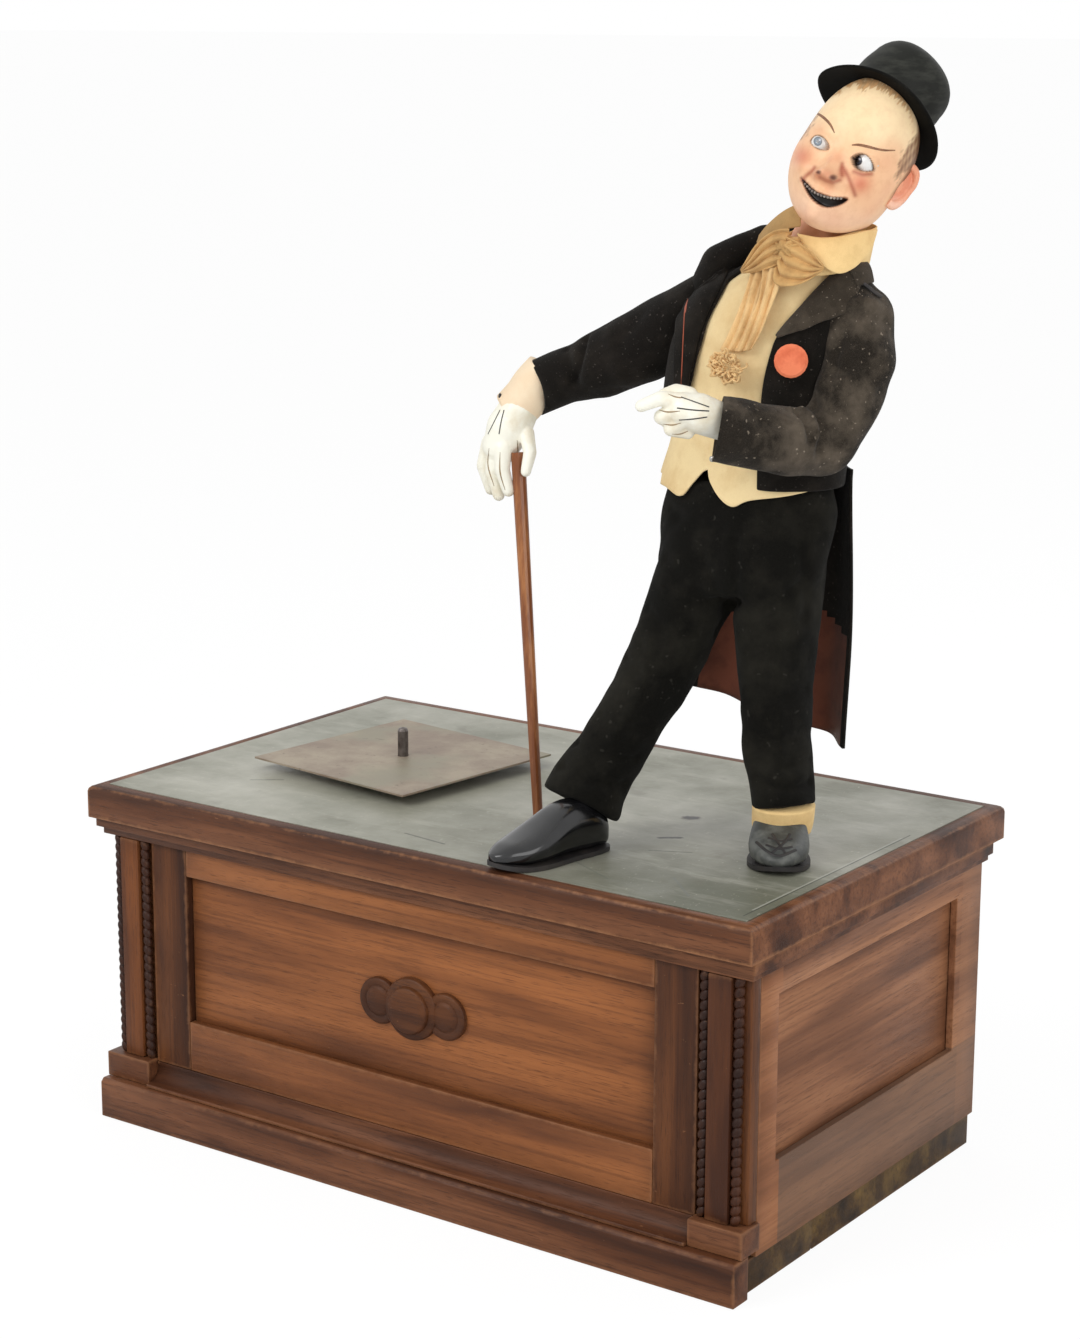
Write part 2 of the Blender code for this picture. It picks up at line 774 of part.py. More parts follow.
def gear(name, module, teeth, x, thick, y, z, phase, material):
    turn = [(y + a * cos(phase) - b * sin(phase), z + a * sin(phase) + b * cos(phase))
            for a, b in gear_outline(module, teeth)]
    wheel = prism(name, turn, x - thick / 2, x + thick / 2, 0, material)
    wheel.data.shade_flat()
    return wheel


def arbor(x_from, x_to, y, z, radius, sides=12):
    return cylinder("arbor", (x_from, y, z), (x_to, y, z), radius, steel(), sides)


great_wheel_x = plate_left_x + plate_thick + barrel_length + 0.009
clutch_x = plate_left_x + plate_thick + 0.0022
crown_pinion_x = spindle_x + crown_radius
fly_wheel_x = plate_right_x - 0.0050
line_angle = atan2(barrel_z - cam_z, barrel_y - cam_y)
fly_angle = atan2(fly_z - cam_z, fly_y - cam_y)


def make_barrel():
    # The great wheel's tooth points along the line of centres, the pinion's gap faces it.
    phase = line_angle + pi
    barrel = gear("spring_barrel", gear_module, wheel_teeth, great_wheel_x, gear_thick, barrel_y, barrel_z,
                  phase,
                  brass())
    start = great_wheel_x - barrel_length - 0.001
    drum = [(0.008, -0.0015), (0.009, 0), (barrel_radius, 0), (barrel_radius + 0.001, 0.002),
            (barrel_radius, 0.004), (barrel_radius, barrel_length - 0.001), (0.012, barrel_length - 0.001),
            (0.012, barrel_length + 0.008)]
    join(barrel, turned("drum", drum, (start, barrel_y, barrel_z), (1, 0, 0), brass(), 28))
    join(barrel, arbor(clutch_x + clutch_gap, plate_right_x + plate_thick - gap, barrel_y, barrel_z,
                       arbor_radius))
    join(barrel, arbor(clutch_x + clutch_gap, start, barrel_y, barrel_z, clutch_radius))
    hang_on(barrel, (great_wheel_x, barrel_y, barrel_z))


def make_camshaft():
    phase = line_angle + pi / pinion_teeth
    pinion = gear("camshaft", gear_module, pinion_teeth, great_wheel_x, gear_thick * 2, cam_y, cam_z, phase,
                  steel())
    end = cheek_places()[1] + bracket_thick + 0.002
    join(pinion, arbor(plate_left_x + gap, end, cam_y, cam_z, camshaft_radius))
    join(pinion, gear("crown_pinion", gear_module, pinion_teeth, crown_pinion_x, gear_thick * 2, cam_y, cam_z,
                      pi / 2, steel()))
    join(pinion, gear("fly_wheel", fly_module, fly_wheel_teeth, fly_wheel_x, 0.003, cam_y, cam_z, fly_angle,
                      brass()))
    for side in (-1, 1):
        x = lever_x(side)
        rim = cylinder("cam", (x - lever_wide / 2, cam_y, cam_z + cam_throw), (x + lever_wide / 2, cam_y,
                       cam_z + cam_throw), cam_radius, brass(), 28)
        join(pinion, rim)
    hang_on(pinion, (great_wheel_x, cam_y, cam_z))


def make_fly():
    phase = fly_angle + pi + pi / fly_pinion_teeth
    fly = gear("governor_fly", fly_module, fly_pinion_teeth, fly_wheel_x, 0.005, fly_y, fly_z, phase, steel())
    join(fly, arbor(plate_left_x + gap, plate_right_x + plate_thick - gap, fly_y, fly_z, fly_arbor, 12))
    blade_from, blade_to = -0.172, -0.112
    thick = 0.0006
    join(fly, box("blades", (blade_from, fly_y - thick, fly_z - fly_blade), (blade_to, fly_y + thick,
                  fly_z + fly_blade), brass()))
    hang_on(fly, (fly_wheel_x, fly_y, fly_z))


def lever_x(side):
    return rod_spot(lever_top, side).x


def make_plates():
    bores = ((cam_y, cam_z, camshaft_radius), (barrel_y, barrel_z, arbor_radius), (fly_y, fly_z, fly_arbor))
    foot = board_thick + gap
    corner = 0.010
    outline = [(plate_front_y, foot), (plate_rear_y, foot), (plate_rear_y, plate_top_z - corner),
               (plate_rear_y - corner, plate_top_z), (plate_front_y + corner, plate_top_z),
               (plate_front_y, plate_top_z - corner)]
    for label, x in (("left", plate_left_x), ("right", plate_right_x)):
        plate = prism(f"movement_plate_{label}", outline, x, x + plate_thick, 0, brass())
        plate.data.shade_flat()
        for y, z, radius in bores:
            cut(plate, arbor(x - 0.01, x + 0.01 + plate_thick, y, z, radius + running))
        if label == "left":
            for y in (plate_front_y + 0.009, plate_rear_y - 0.009):
                for z in (foot + 0.010, plate_top_z - 0.020):
                    join(plate, arbor(x + 0.001, plate_right_x - gap, y, z, pillar_radius, 12))


def make_crank():
    # The winding arbor ends in a clutch disc that faces the barrel's, and its crank stands clear of the side.
    arm_x = -body_half - crank_gap
    crank = arbor(arm_x, clutch_x, barrel_y, barrel_z, arbor_radius)
    crank.name = "winding_crank"
    join(crank, arbor(plate_left_x + plate_thick + gap, clutch_x, barrel_y, barrel_z, clutch_radius))
    far = arm_x - crank_thick
    outline = []
    for k in range(9):
        t = pi * k / 8
        outline.append((barrel_y + 0.010 * cos(t), barrel_z + 0.010 * sin(t)))
    for k in range(9):
        t = pi + pi * k / 8
        outline.append((barrel_y + 0.007 * cos(t), barrel_z - crank_length + 0.007 * sin(t)))
    join(crank, prism("arm", outline, far, arm_x + 0.0005, 0, steel()))
    pin_z = barrel_z - crank_length
    join(crank, cylinder("pin", (far + 0.001, barrel_y, pin_z),
                         (far - knob_length - 0.002, barrel_y, pin_z), 0.0025,
                         steel(), 14))
    hang_on(crank, (arm_x, barrel_y, barrel_z))
    profile = [(0.0062, 0), (0.0075, 0.003), (knob_radius, knob_length * 0.55), (0.0080, knob_length * 0.9),
               (0.0055, knob_length)]
    knob = turned("crank_knob", profile, (far - gap, barrel_y, pin_z), (-1, 0, 0), dark_wood(), 20)
    cut(knob, cylinder("bore", (far + 0.01, barrel_y, pin_z), (far - knob_length - 0.01, barrel_y, pin_z),
                       0.0025 + running, steel(), 14))
    hang_on(knob, (far, barrel_y, pin_z))


def make_spindle():
    top = cabinet_height + spindle_top
    plate_low = cabinet_height + display_lift
    wheel_low = cam_z + pinion_radius + 0.0030
    profile = [(0.0055, wheel_low), (crown_radius - 0.004, wheel_low), (crown_radius + 0.003, wheel_low),
               (crown_radius + 0.003, wheel_low + 0.004), (0.009, wheel_low + 0.004), (0.009,
                                                                                       wheel_low + 0.010),
               (spindle_radius, wheel_low + 0.010), (spindle_radius, bridge_z + bridge_thick + gap),
               (0.009, bridge_z + bridge_thick + gap), (0.009, bridge_z + bridge_thick + 0.006),
               (spindle_radius, bridge_z + bridge_thick + 0.006), (spindle_radius, plate_low - 0.0055),
               (0.012, plate_low - 0.0035), (0.012, plate_low - gap), (spindle_radius, plate_low - gap),
               (spindle_radius, top - 0.003), (spindle_radius * 0.8, top - 0.001), (0, top)]
    spindle = turned("turntable_spindle", profile, (spindle_x, spindle_y, 0), (0, 0, 1), steel(), 24)
    teeth = []
    pitch = 2 * pi * crown_radius / crown_teeth
    half = pitch * (tooth_foot + tooth_tip) / 2
    for k in range(crown_teeth):
        tooth = box("tooth", (crown_radius - 0.003, -half, wheel_low - 0.0046), (crown_radius + 0.003, half,
                    wheel_low + 0.001), brass())
        turn_about(tooth, (0, 0, 0), (0, 0, 1), 360 * (k + 0.5) / crown_teeth)
        tooth.data.transform(Matrix.Translation((spindle_x, spindle_y, 0)))
        teeth.append(tooth)
    first = teeth[0]
    merged = bmesh.new()
    for tooth in teeth:
        merged.from_mesh(tooth.data)
    merged.to_mesh(first.data)
    merged.free()
    for tooth in teeth[1:]:
        bpy.data.objects.remove(tooth, do_unlink=True)
    join(spindle, first)
    hang_on(spindle, (spindle_x, spindle_y, 0))


def make_bridge():
    bridge = box("spindle_bridge", (plate_left_x + plate_thick + gap, spindle_y - bridge_half, bridge_z),
                 (plate_right_x - gap, spindle_y + bridge_half, bridge_z + bridge_thick), brass())
    cut(bridge, cylinder("bore", (spindle_x, spindle_y, bridge_z - 0.01),
                         (spindle_x, spindle_y, bridge_z + 0.02),
                         spindle_radius + running, steel()))


def make_display_plate():
    low = cabinet_height + display_lift
    half = display_side / 2
    plate = box("display_plate", (-half, -half, low), (half, half, low + display_thick), rusty_steel())
    cut(plate, cylinder("bore", (0, 0, low - 0.01), (0, 0, low + 0.01), spindle_radius + gap, steel()))
    turn_about(plate, (0, 0, 0), (0, 0, 1), display_turn)
    plate.location = (spindle_x, spindle_y, 0)


def cheek_places():
    # The bracket's two cheeks stand outside the levers.
    reach = lever_wide / 2 + bracket_room
    return lever_x(-1) - reach - bracket_thick, lever_x(1) + reach


def make_bracket():
    bracket_left, bracket_right = cheek_places()
    foot = board_thick + gap
    rear = lever_pivot_y + 0.012
    front = cam_y - 0.014
    top = lever_pivot_z + 0.010
    bracket = box("follower_bracket", (bracket_left, front, foot),
                  (bracket_right + bracket_thick, rear, foot + 0.004),
                  brass())
    for x in (bracket_left, bracket_right):
        outline = [(front, foot + 0.001), (rear, foot + 0.001), (rear, top), (lever_pivot_y - 0.012, top),
                   (cam_y + 0.012, cam_z + 0.010), (front, cam_z + 0.010)]
        cheek = prism("cheek", outline, x, x + bracket_thick, 0, brass())
        cut(cheek, arbor(x - 0.01, x + 0.01, cam_y, cam_z, camshaft_radius + running))
        join(bracket, cheek)
    join(bracket, arbor(bracket_left + 0.001, bracket_right + 0.001, lever_pivot_y, lever_pivot_z, 0.0025,
                        14))


def make_levers():
    for side, label in ((-1, "head_lever"), (1, "arm_lever")):
        x = lever_x(side)
        low, high = x - lever_wide / 2, x + lever_wide / 2
        outline = [(lever_tip_y, lever_low + 0.002), (lever_tip_y + 0.006, lever_low),
                   (lever_pivot_y, lever_low)]
        for k in range(1, 8):
            t = -pi / 2 + pi * k / 8
            outline.append((lever_pivot_y + 0.006 * cos(t), lever_pivot_z + lever_high / 2 * sin(t)))
        outline += [(lever_pivot_y, lever_top), (lever_tip_y + 0.002, lever_top),
                    (lever_tip_y, lever_top - 0.002)]
        lever = prism(label, outline, low, high, 0, steel())
        cut(lever, arbor(low - 0.01, high + 0.01, lever_pivot_y, lever_pivot_z, 0.0025 + gap, 14))
        hang_on(lever, (x, lever_pivot_y, lever_pivot_z))


def make_rods():
    slope = sqrt(1 - rod_line.z ** 2) * rod_radius
    for side, label, top in ((-1, "head_rod", head_rod_top), (1, "arm_rod", arm_rod_top)):
        start = rod_spot(lever_top + gap + slope, side)
        cylinder(label, start, rod_at(top, side) + figure_shift, rod_radius, steel(), 10)


# Figure: legs and shoes

left_leg = ((0.3080, 0.2345, -0.0300, 0.0225, 0.0240), (0.3400, 0.2310, -0.0240, 0.0265, 0.0275),
            (0.4130, 0.2190, -0.0100, 0.0285, 0.0310), (0.4520, 0.2175, -0.0040, 0.0335, 0.0370))
right_leg = ((0.3064, 0.1090, -0.0930, 0.0245, 0.0260), (0.3600, 0.1160, -0.0690, 0.0270, 0.0290),
             (0.4130, 0.1270, -0.0440, 0.0300, 0.0325), (0.4520, 0.1375, -0.0240, 0.0335, 0.0370))
seat_levels = ((0.4523, 0.1780, -0.0120, 0.0745, 0.0420), (0.4800, 0.1825, -0.0040, 0.0690, 0.0450),
               (0.5120, 0.1855, 0.0040, 0.0640, 0.0440), (0.5360, 0.1865, 0.0080, 0.0545, 0.0400))
chest_levels = ((0.5363, 0.1865, 0.0080, 0.0545, 0.0405), (0.5800, 0.1865, 0.0100, 0.0580, 0.0440),
                (0.6320, 0.1890, 0.0120, 0.0620, 0.0460), (0.6650, 0.1990, 0.0140, 0.0590, 0.0400),
                (0.6880, 0.2120, 0.0155, 0.0420, 0.0310), (0.7000, 0.2220, 0.0165, 0.0260, 0.0235))


def make_trousers():
    for label, levels in (("trouser_leg_left", left_leg), ("trouser_leg_right", right_leg)):
        rows = [(x, y, z, wide, deep) for z, x, y, wide, deep in levels]
        steps = blended_levels(rows, 2)
        leg = layered(label, [(p[2], p[0], p[1], p[3], p[4]) for p in steps], black_cloth(), 16, 0.0, 0.035)
        if label.endswith("left"):
            cut(leg, *rod_bores(0.28, 0.47))
    seat = layered("trouser_seat", smoothed(seat_levels, 2), black_cloth(), 20, -gap, 0.012, 5)
    cut(seat, *rod_bores(0.44, 0.55))


def smoothed(levels, steps):
    rows = [(x, y, z, wide, deep) for z, x, y, wide, deep in levels]
    return [(p[2], p[0], p[1], p[3], p[4]) for p in blended_levels(rows, steps)]


def shoe(name, heel, toe, wide, material):
    # Lofted across the foot from heel to toe: (share of length, half width, top, tuck).
    heel, toe = Vector(heel), Vector(toe)
    along = (toe - heel).normalized()
    across = Vector((-along.y, along.x, 0))
    length = (toe - heel).length
    stations = ((0.0, 0.35, 0.019), (0.05, 0.62, 0.026), (0.16, 0.74, 0.030), (0.32, 0.80, 0.031),
                (0.48, 0.92, 0.026), (0.64, 1.0, 0.0195),
                (0.80, 0.86, 0.0155), (0.92, 0.56, 0.012), (1.0, 0.22, 0.008))
    rings = []
    for share, half, top in stations:
        centre = heel + along * (length * share)
        w = wide / 2 * half
        spring = 0.004 * max(0.0, (share - 0.75) / 0.25) ** 2
        section = [(-0.92, 0), (-1.0, 0.004), (-0.97, top * 0.45), (-0.72, top * 0.82), (-0.28, top),
                   (0.28, top),
                   (0.72, top * 0.82), (0.97, top * 0.45), (1.0, 0.004), (0.92, 0)]
        rings.append([centre + across * (w * s) + Vector((0, 0, h + spring)) for s, h in section])
    body = loft(name, rings, material)
    arch = heel + along * (length * 0.36)
    low = box("arch", (-length * 0.09, -wide, -0.001), (length * 0.09, wide, 0.0035), material)
    turn = atan2(along.y, along.x)
    low.data.transform(Matrix.Translation(arch) @ Matrix.Rotation(turn, 4, "Z"))
    return cut(body, low)


def make_shoes():
    # Each is heel, toe and width, and each ankle is its middle and half sizes.
    left_shoe = (0.2135, 0.0030, shoe_floor), (0.2590, -0.0765, shoe_floor), 0.046
    right_shoe = (0.1185, -0.0790, shoe_floor), (0.0895, -0.1850, shoe_floor), 0.043
    left_ankle, right_ankle = (0.2310, -0.0235, 0.0195, 0.0215), (0.1100, -0.0960, 0.0185, 0.0200)
    low, high = shoe_floor - slab_thick, left_leg[0][0] + slab_thick
    foot = shoe_floor + 0.018
    left = shoe("shoe_left", *left_shoe, dull_leather())
    cut(left, *rod_bores(low, high))
    sock = layered("sock_left", [(foot, *left_ankle), (left_leg[0][0] - gap, *left_ankle)], cream_cloth(), 16)
    room = shoe("room", *left_shoe, steel())
    room.data.transform(Matrix.Translation((0, 0, gap)))
    cut(sock, room, *rod_bores(low, high))
    right = shoe("shoe_right", *right_shoe, patent_leather())
    join(right, layered("ankle", [(foot, *right_ankle), (right_leg[0][0] - gap, *right_ankle)], steel(), 16))


# Figure: arms and hands

def sleeve_right(grow=0.0, name="sleeve_right"):
    points = [shoulder_right, (0.1000, 0.0080, 0.6450), elbow_right, cuff_right]
    return limb(name, points, [0.0255, 0.0275, 0.0250, 0.0215], coat_cloth(), 14, 2, grow, (True, False))


def upper_sleeve_left(grow=0.0, name="upper_sleeve_left"):
    points = [shoulder_left, (0.2700, 0.0020, 0.6230), elbow_left + Vector((0.001, 0.002, 0.012))]
    return limb(name, points, [0.0265, 0.0275, 0.0275], coat_cloth(), 14, 2, grow, (True, False))


forearm_cuff = Vector((0.2140, -0.0870, 0.5915))
forearm_axis = Vector((-0.729, 0.685, 0)).normalized()


def forearm_sleeve_left(grow=0.0, name="forearm_sleeve_left"):
    points = [elbow_left, (0.2440, -0.0480, 0.5800), forearm_cuff]
    return limb(name, points, [0.0250, 0.0245, 0.0205], coat_cloth(), 14, 2, grow, (True, False))


def add_finger(hand, points, radius, tip):
    # Each bone of the finger is a domed stub, so a bent finger never folds through itself.
    count = len(points) - 1
    radii = [radius + (tip - radius) * k / count for k in range(count + 1)]
    for k in range(count):
        join(hand, limb("bone", points[k:k + 2], radii[k:k + 2], glove_paint(), 8, 1))


def cane_solid(name, grow=0.0):
    radius = (cane_radius_tip + grow, cane_radius_top + grow)
    return cylinder(name, cane_tip, cane_top + cane_line * grow, radius[0], cane_wood(), 14, radius[1])


def make_right_hand():
    wrist = Vector((-0.0035, -0.0235, 0.5800))
    aim = (wrist - cuff_right).normalized()
    knuckle = Vector((-0.0120, -0.0330, 0.5500))
    hand = limb("hand_right", [wrist - aim * 0.002, (-0.0085, -0.0285, 0.5660), knuckle],
                [0.0135, 0.0165, 0.0145],
                glove_paint(), 12, 3, 0.0, (False, True), 1.0)
    join(hand, limb("cuff", [cuff_right + aim * gap * 2, wrist], [0.0190, 0.0158], cream_cloth(), 14, 1, 0.0,
                    (False, False)))
    tips = (((-0.0205, -0.0285, 0.5530), (-0.0235, -0.0300, 0.5350), (-0.0205, -0.0310, 0.5170)),
            ((-0.0150, -0.0370, 0.5500), (-0.0165, -0.0395, 0.5320), (-0.0125, -0.0390, 0.5150)),
            ((-0.0065, -0.0420, 0.5500), (-0.0065, -0.0445, 0.5350), (-0.0020, -0.0430, 0.5195)),
            ((0.0060, -0.0300, 0.5600), (0.0165, -0.0370, 0.5480), (0.0185, -0.0400, 0.5330)))
    for points in tips:
        add_finger(hand, points, 0.0068, 0.0050)
    cut(hand, cane_solid("bore", gap), sleeve_right(gap, "sleeve_room"))
    cane = cane_solid("cane")
    for piece in (hand, cane):
        hang_on(piece, shoulder_right)


def make_left_hand():
    wrist = forearm_cuff + (forearm_cuff - Vector((0.2440, -0.0480, 0.5800))).normalized() * gap * 2
    hand = limb("hand_left", [wrist, (0.2050, -0.1000, 0.5980), (0.1985, -0.1090, 0.6020)],
                [0.0135, 0.0155, 0.0135],
                glove_paint(), 12, 2, 0.0, (False, True), 0.85)
    tips = (((0.1975, -0.1120, 0.6080), (0.1840, -0.1210, 0.6090), (0.1730, -0.1280, 0.6060)),
            ((0.1920, -0.1150, 0.5990), (0.1845, -0.1170, 0.5950), (0.1910, -0.1090, 0.5880)),
            ((0.1960, -0.1120, 0.5930), (0.1900, -0.1130, 0.5870), (0.1980, -0.1040, 0.5830)),
            ((0.1960, -0.1020, 0.6110), (0.1880, -0.1050, 0.6160), (0.1830, -0.1110, 0.6120)))
    for points in tips:
        add_finger(hand, points, 0.0062, 0.0046)
    cut(hand, forearm_sleeve_left(gap, "sleeve_room"))
    hang_on(hand, elbow_left)


def swing_room(build, grow, pivot, axis, angle):
    # A fatter copy of a moving piece at the middle of its swing, to cut its room out of a neighbour.
    return turn_about(build(grow, "room"), pivot, axis, angle / 2)


# Figure: body

def chest(grow, name="chest"):
    return layered(name, smoothed(chest_levels, 2), cream_cloth(), 18, grow)


def neck_bore(grow):
    return cylinder("neck_bore", neck_foot - neck_line * gap, neck_foot + neck_line * 0.05,
                    neck_radius + grow,
                    face_paint(), 20)


def collar_ring(grow=0.0, name="shirt_collar"):
    inner = neck_radius + swing * 2 - grow
    profile = [(inner, 0.001 - grow), (inner, collar_high - 0.0015), (inner + 0.003, collar_high + grow),
               (0.0335 + grow, 0.011 + grow),
               (0.0350 + grow, 0.007), (0.0300, 0.001 - grow)]
    return hollow_turned(name, profile, neck_foot, neck_line, cream_cloth(), 28)


def collar_room(grow):
    # The collar's outside, filled in, to cut its seat out of what it rests on.
    profile = [(0, -0.003), (0.0300 + grow, 0.001 - grow), (0.0350 + grow, 0.007),
               (0.0335 + grow, 0.011 + grow),
               (neck_radius + swing * 2 + 0.003 + grow, collar_high + grow), (0, collar_high + grow)]
    return turned("collar_room", profile, neck_foot, neck_line, steel(), 28)


lapel_outlines = (  # x and z, the left lapel and then the right
    [(0.236, 0.70), (0.266, 0.70), (0.267, 0.672), (0.2458, 0.658), (0.222, 0.6415), (0.2165, 0.637),
     (0.230, 0.665)],
    [(0.172, 0.70), (0.148, 0.70), (0.1395, 0.668), (0.1420, 0.650), (0.1500, 0.625),
     (0.1552, 0.629), (0.165, 0.672)])


def coat_opening():
    outline = [(0.150, 0.50), (0.226, 0.50), (0.226, 0.541), (0.222, 0.590), (0.2165, 0.637), (0.233, 0.662),
               (0.240, 0.72), (0.165, 0.72), (0.158, 0.668), (0.150, 0.618), (0.146, 0.575), (0.150, 0.53)]
    return prism("opening", outline, -0.2, 0.0135, 1, coat_cloth())


def make_body():
    waistcoat = chest(0.0, "waistcoat")
    levels = smoothed(chest_levels[:-1], 2)
    coat = layered("coat_body", levels, coat_cloth(), 18, coat_thick)
    for outline in lapel_outlines:
        lapel = prism("lapel", outline, -0.2, chest_levels[0][2], 1, coat_cloth())
        bake(lapel, "INTERSECT", layered("lapel_room", levels, coat_cloth(), 18, coat_thick + lapel_thick))
        join(coat, lapel)
    cut(coat, chest(gap), coat_opening())
    for target in (waistcoat, coat):
        cut(target, collar_room(gap), neck_bore(swing * 2), upper_sleeve_left(gap, "room"))
        cut(target, swing_room(sleeve_right, shoulder_room, shoulder_right, (0, 1, 0), arm_swing))
    cut(coat, swing_room(forearm_sleeve_left, elbow_room, elbow_left, forearm_axis, forearm_swing))
    cut(waistcoat, *rod_bores(0.50, 0.70))
    collar_ring()


def make_sleeves():
    hang_on(sleeve_right(), shoulder_right)
    upper = upper_sleeve_left()
    cut(upper, swing_room(forearm_sleeve_left, elbow_room, elbow_left, forearm_axis, forearm_swing))
    cut(upper, collar_room(gap))
    hang_on(forearm_sleeve_left(), elbow_left)


def make_tails():
    # One curved skirt behind the legs, split at its hem, hanging from the coat's waist.
    rings = []
    levels = ((0.5345, 0.055, 0.0480, 0.0070), (0.480, 0.066, 0.0580, 0.0055), (0.420, 0.070, 0.0640, 0.0050),
              (0.345, 0.074, 0.0680, 0.0045))
    columns = 13
    for z, wide, back, thick in levels:
        outer, inner = [], []
        for k in range(columns):
            t = -1 + 2 * k / (columns - 1)
            drift = 0.170 + 0.020 * (z - 0.345) / 0.19
            x = drift + wide * 1.02 * t + 0.004
            y = back - 0.020 * t * t + 0.0035 * cos(3.0 * pi * t)
            outer.append(Vector((x, y + thick, z)))
            inner.append(Vector((x, y, z)))
        rings.append(inner + outer[::-1])
    tails = loft("coat_tails", rings, coat_cloth())
    slit = prism("slit", [(0.168, 0.30), (0.180, 0.30), (0.1755, 0.47), (0.1740, 0.47)], 0.02, 0.12, 1,
                 coat_cloth())
    cut(tails, slit)
    seat = layered("seat_room", smoothed(seat_levels, 2), black_cloth(), 20, gap * 2, 0.012, 5)
    cut(tails, seat)


def make_cravat():
    # A gathered knot with a loop to each side and two tails that end in a frayed tuft.
    knot = [(0.2175, -0.0250, 0.7060), (0.2265, -0.0255, 0.7080)]
    cravat = limb("cravat", knot, [0.0080, 0.0090], tan_cloth(), 12, 1)
    loop_left = [(0.2245, -0.0260, 0.7030), (0.2380, -0.0280, 0.6985), (0.2490, -0.0255, 0.6990)]
    loop_right = [(0.2190, -0.0260, 0.7050), (0.2080, -0.0265, 0.7010), (0.2010, -0.0255, 0.6985)]
    tails = [(0.2245, -0.0260, 0.7040), (0.2120, -0.0370, 0.6700), (0.1965, -0.0450, 0.6380),
             (0.1900, -0.0460, 0.6210)]
    join(cravat, limb("loop", loop_left, [0.0040, 0.0048, 0.0035], tan_cloth(), 12, 2, 0.0, (True, True),
                      2.2),
         limb("loop", loop_right, [0.0040, 0.0042, 0.0032], tan_cloth(), 12, 2, 0.0, (True, True), 1.7),
         limb("tails", tails, [0.0070, 0.0070, 0.0072, 0.0095], tan_cloth(), 12, 2, 0.0, (True, True), 0.6))
    cut(cravat, chest(gap * 2), collar_room(gap), neck_bore(swing * 2))


def make_disc():
    place = Vector((0.2333, -0.0309, 0.6315))
    face = Vector((0.529, -0.848, 0.05)).normalized()
    turned("buttonhole_disc", [(disc_radius * 0.9, 0), (disc_radius, 0.001), (disc_radius, 0.0022),
                               (disc_radius * 0.85, 0.0032), (0, 0.0036)], place, face, salmon_enamel(), 20)


# Figure: head

def head_point(front, left, up):
    return head_centre + head_front * front + head_left * left + head_up * up


face_forms = (  # places on the face from the head's middle, left and up, then half sizes and lift
    (0.0, -0.036, 0.0190, 0.0160, 0.0095), (0.0, -0.053, 0.0120, 0.0090, 0.0130),
    (0.0, -0.014, 0.0060, 0.0090, 0.0050), (0.0, -0.021, 0.0070, 0.0065, 0.0090),
    (0.022, -0.024, 0.0110, 0.0090, 0.0035), (-0.022, -0.024, 0.0110, 0.0090, 0.0035),
    (0.0175, -0.004, 0.0090, 0.0060, -0.0030), (-0.0175, -0.004, 0.0090, 0.0060, -0.0030))


def head_skin(turn, lift):
    # An egg with a squarer jaw, swollen and dimpled by the rounded forms of the face; turn 0 faces front.
    up = sin(lift)
    if up < 0:
        share = (1 - abs(up) ** jaw_square) ** (1 / jaw_square)
        height = head_drop * up
    else:
        share = cos(lift)
        height = head_tall * up
    front = share * cos(turn)
    across, forward = head_wide * share * sin(turn), head_deep * front
    if front > 0 and up < 0:
        height -= chin_drop * front * up * up
    facing = min(1.0, max(0.0, front) * 3)
    for left, high, wide, tall, raised in face_forms:
        forward += facing * raised * exp(-((across - left) / wide) ** 2 - ((height - high) / tall) ** 2)
    return head_point(forward, across, height)


def head_shape():
    # Its rows and columns stand closer together on the face.
    rows, sides = 18, 28
    rings = []
    for row in range(1, rows):
        share = 2 * row / rows - 1
        lift = pi / 2 * (share + 0.12 * sin(pi * share) - 0.10 * cos(pi / 2 * share))
        turns = [2 * pi * k / sides for k in range(sides)]
        rings.append([head_skin(t - 0.55 * sin(t), lift) for t in turns])
    points = [p for ring in rings for p in ring]
    faces = []
    for level in range(len(rings) - 1):
        for k in range(sides):
            nxt = (k + 1) % sides
            base = level * sides
            faces.append((base + k, base + nxt, base + sides + nxt, base + sides + k))
    for first, lift in ((0, -pi / 2), (len(points) - sides, pi / 2)):
        points.append(head_skin(0, lift))
        faces.extend((first + k, first + (k + 1) % sides, len(points) - 1) for k in range(sides))
    return smooth(solid("head", points, faces, face_paint()), 60)


def hat_profile():
    brim, crown, high = hat_brim, hat_crown, hat_height
    return [(0, 0), (brim - 0.003, 0), (brim, 0.0015), (brim - 0.001, 0.003), (crown + 0.004, 0.0028),
            (crown + 0.0008, 0.0045), (crown, 0.012), (crown * 1.03, high * 0.62), (crown * 0.96,
                                                                                    high * 0.82),
            (crown * 0.72, high * 0.95), (crown * 0.35, high), (0, high)]


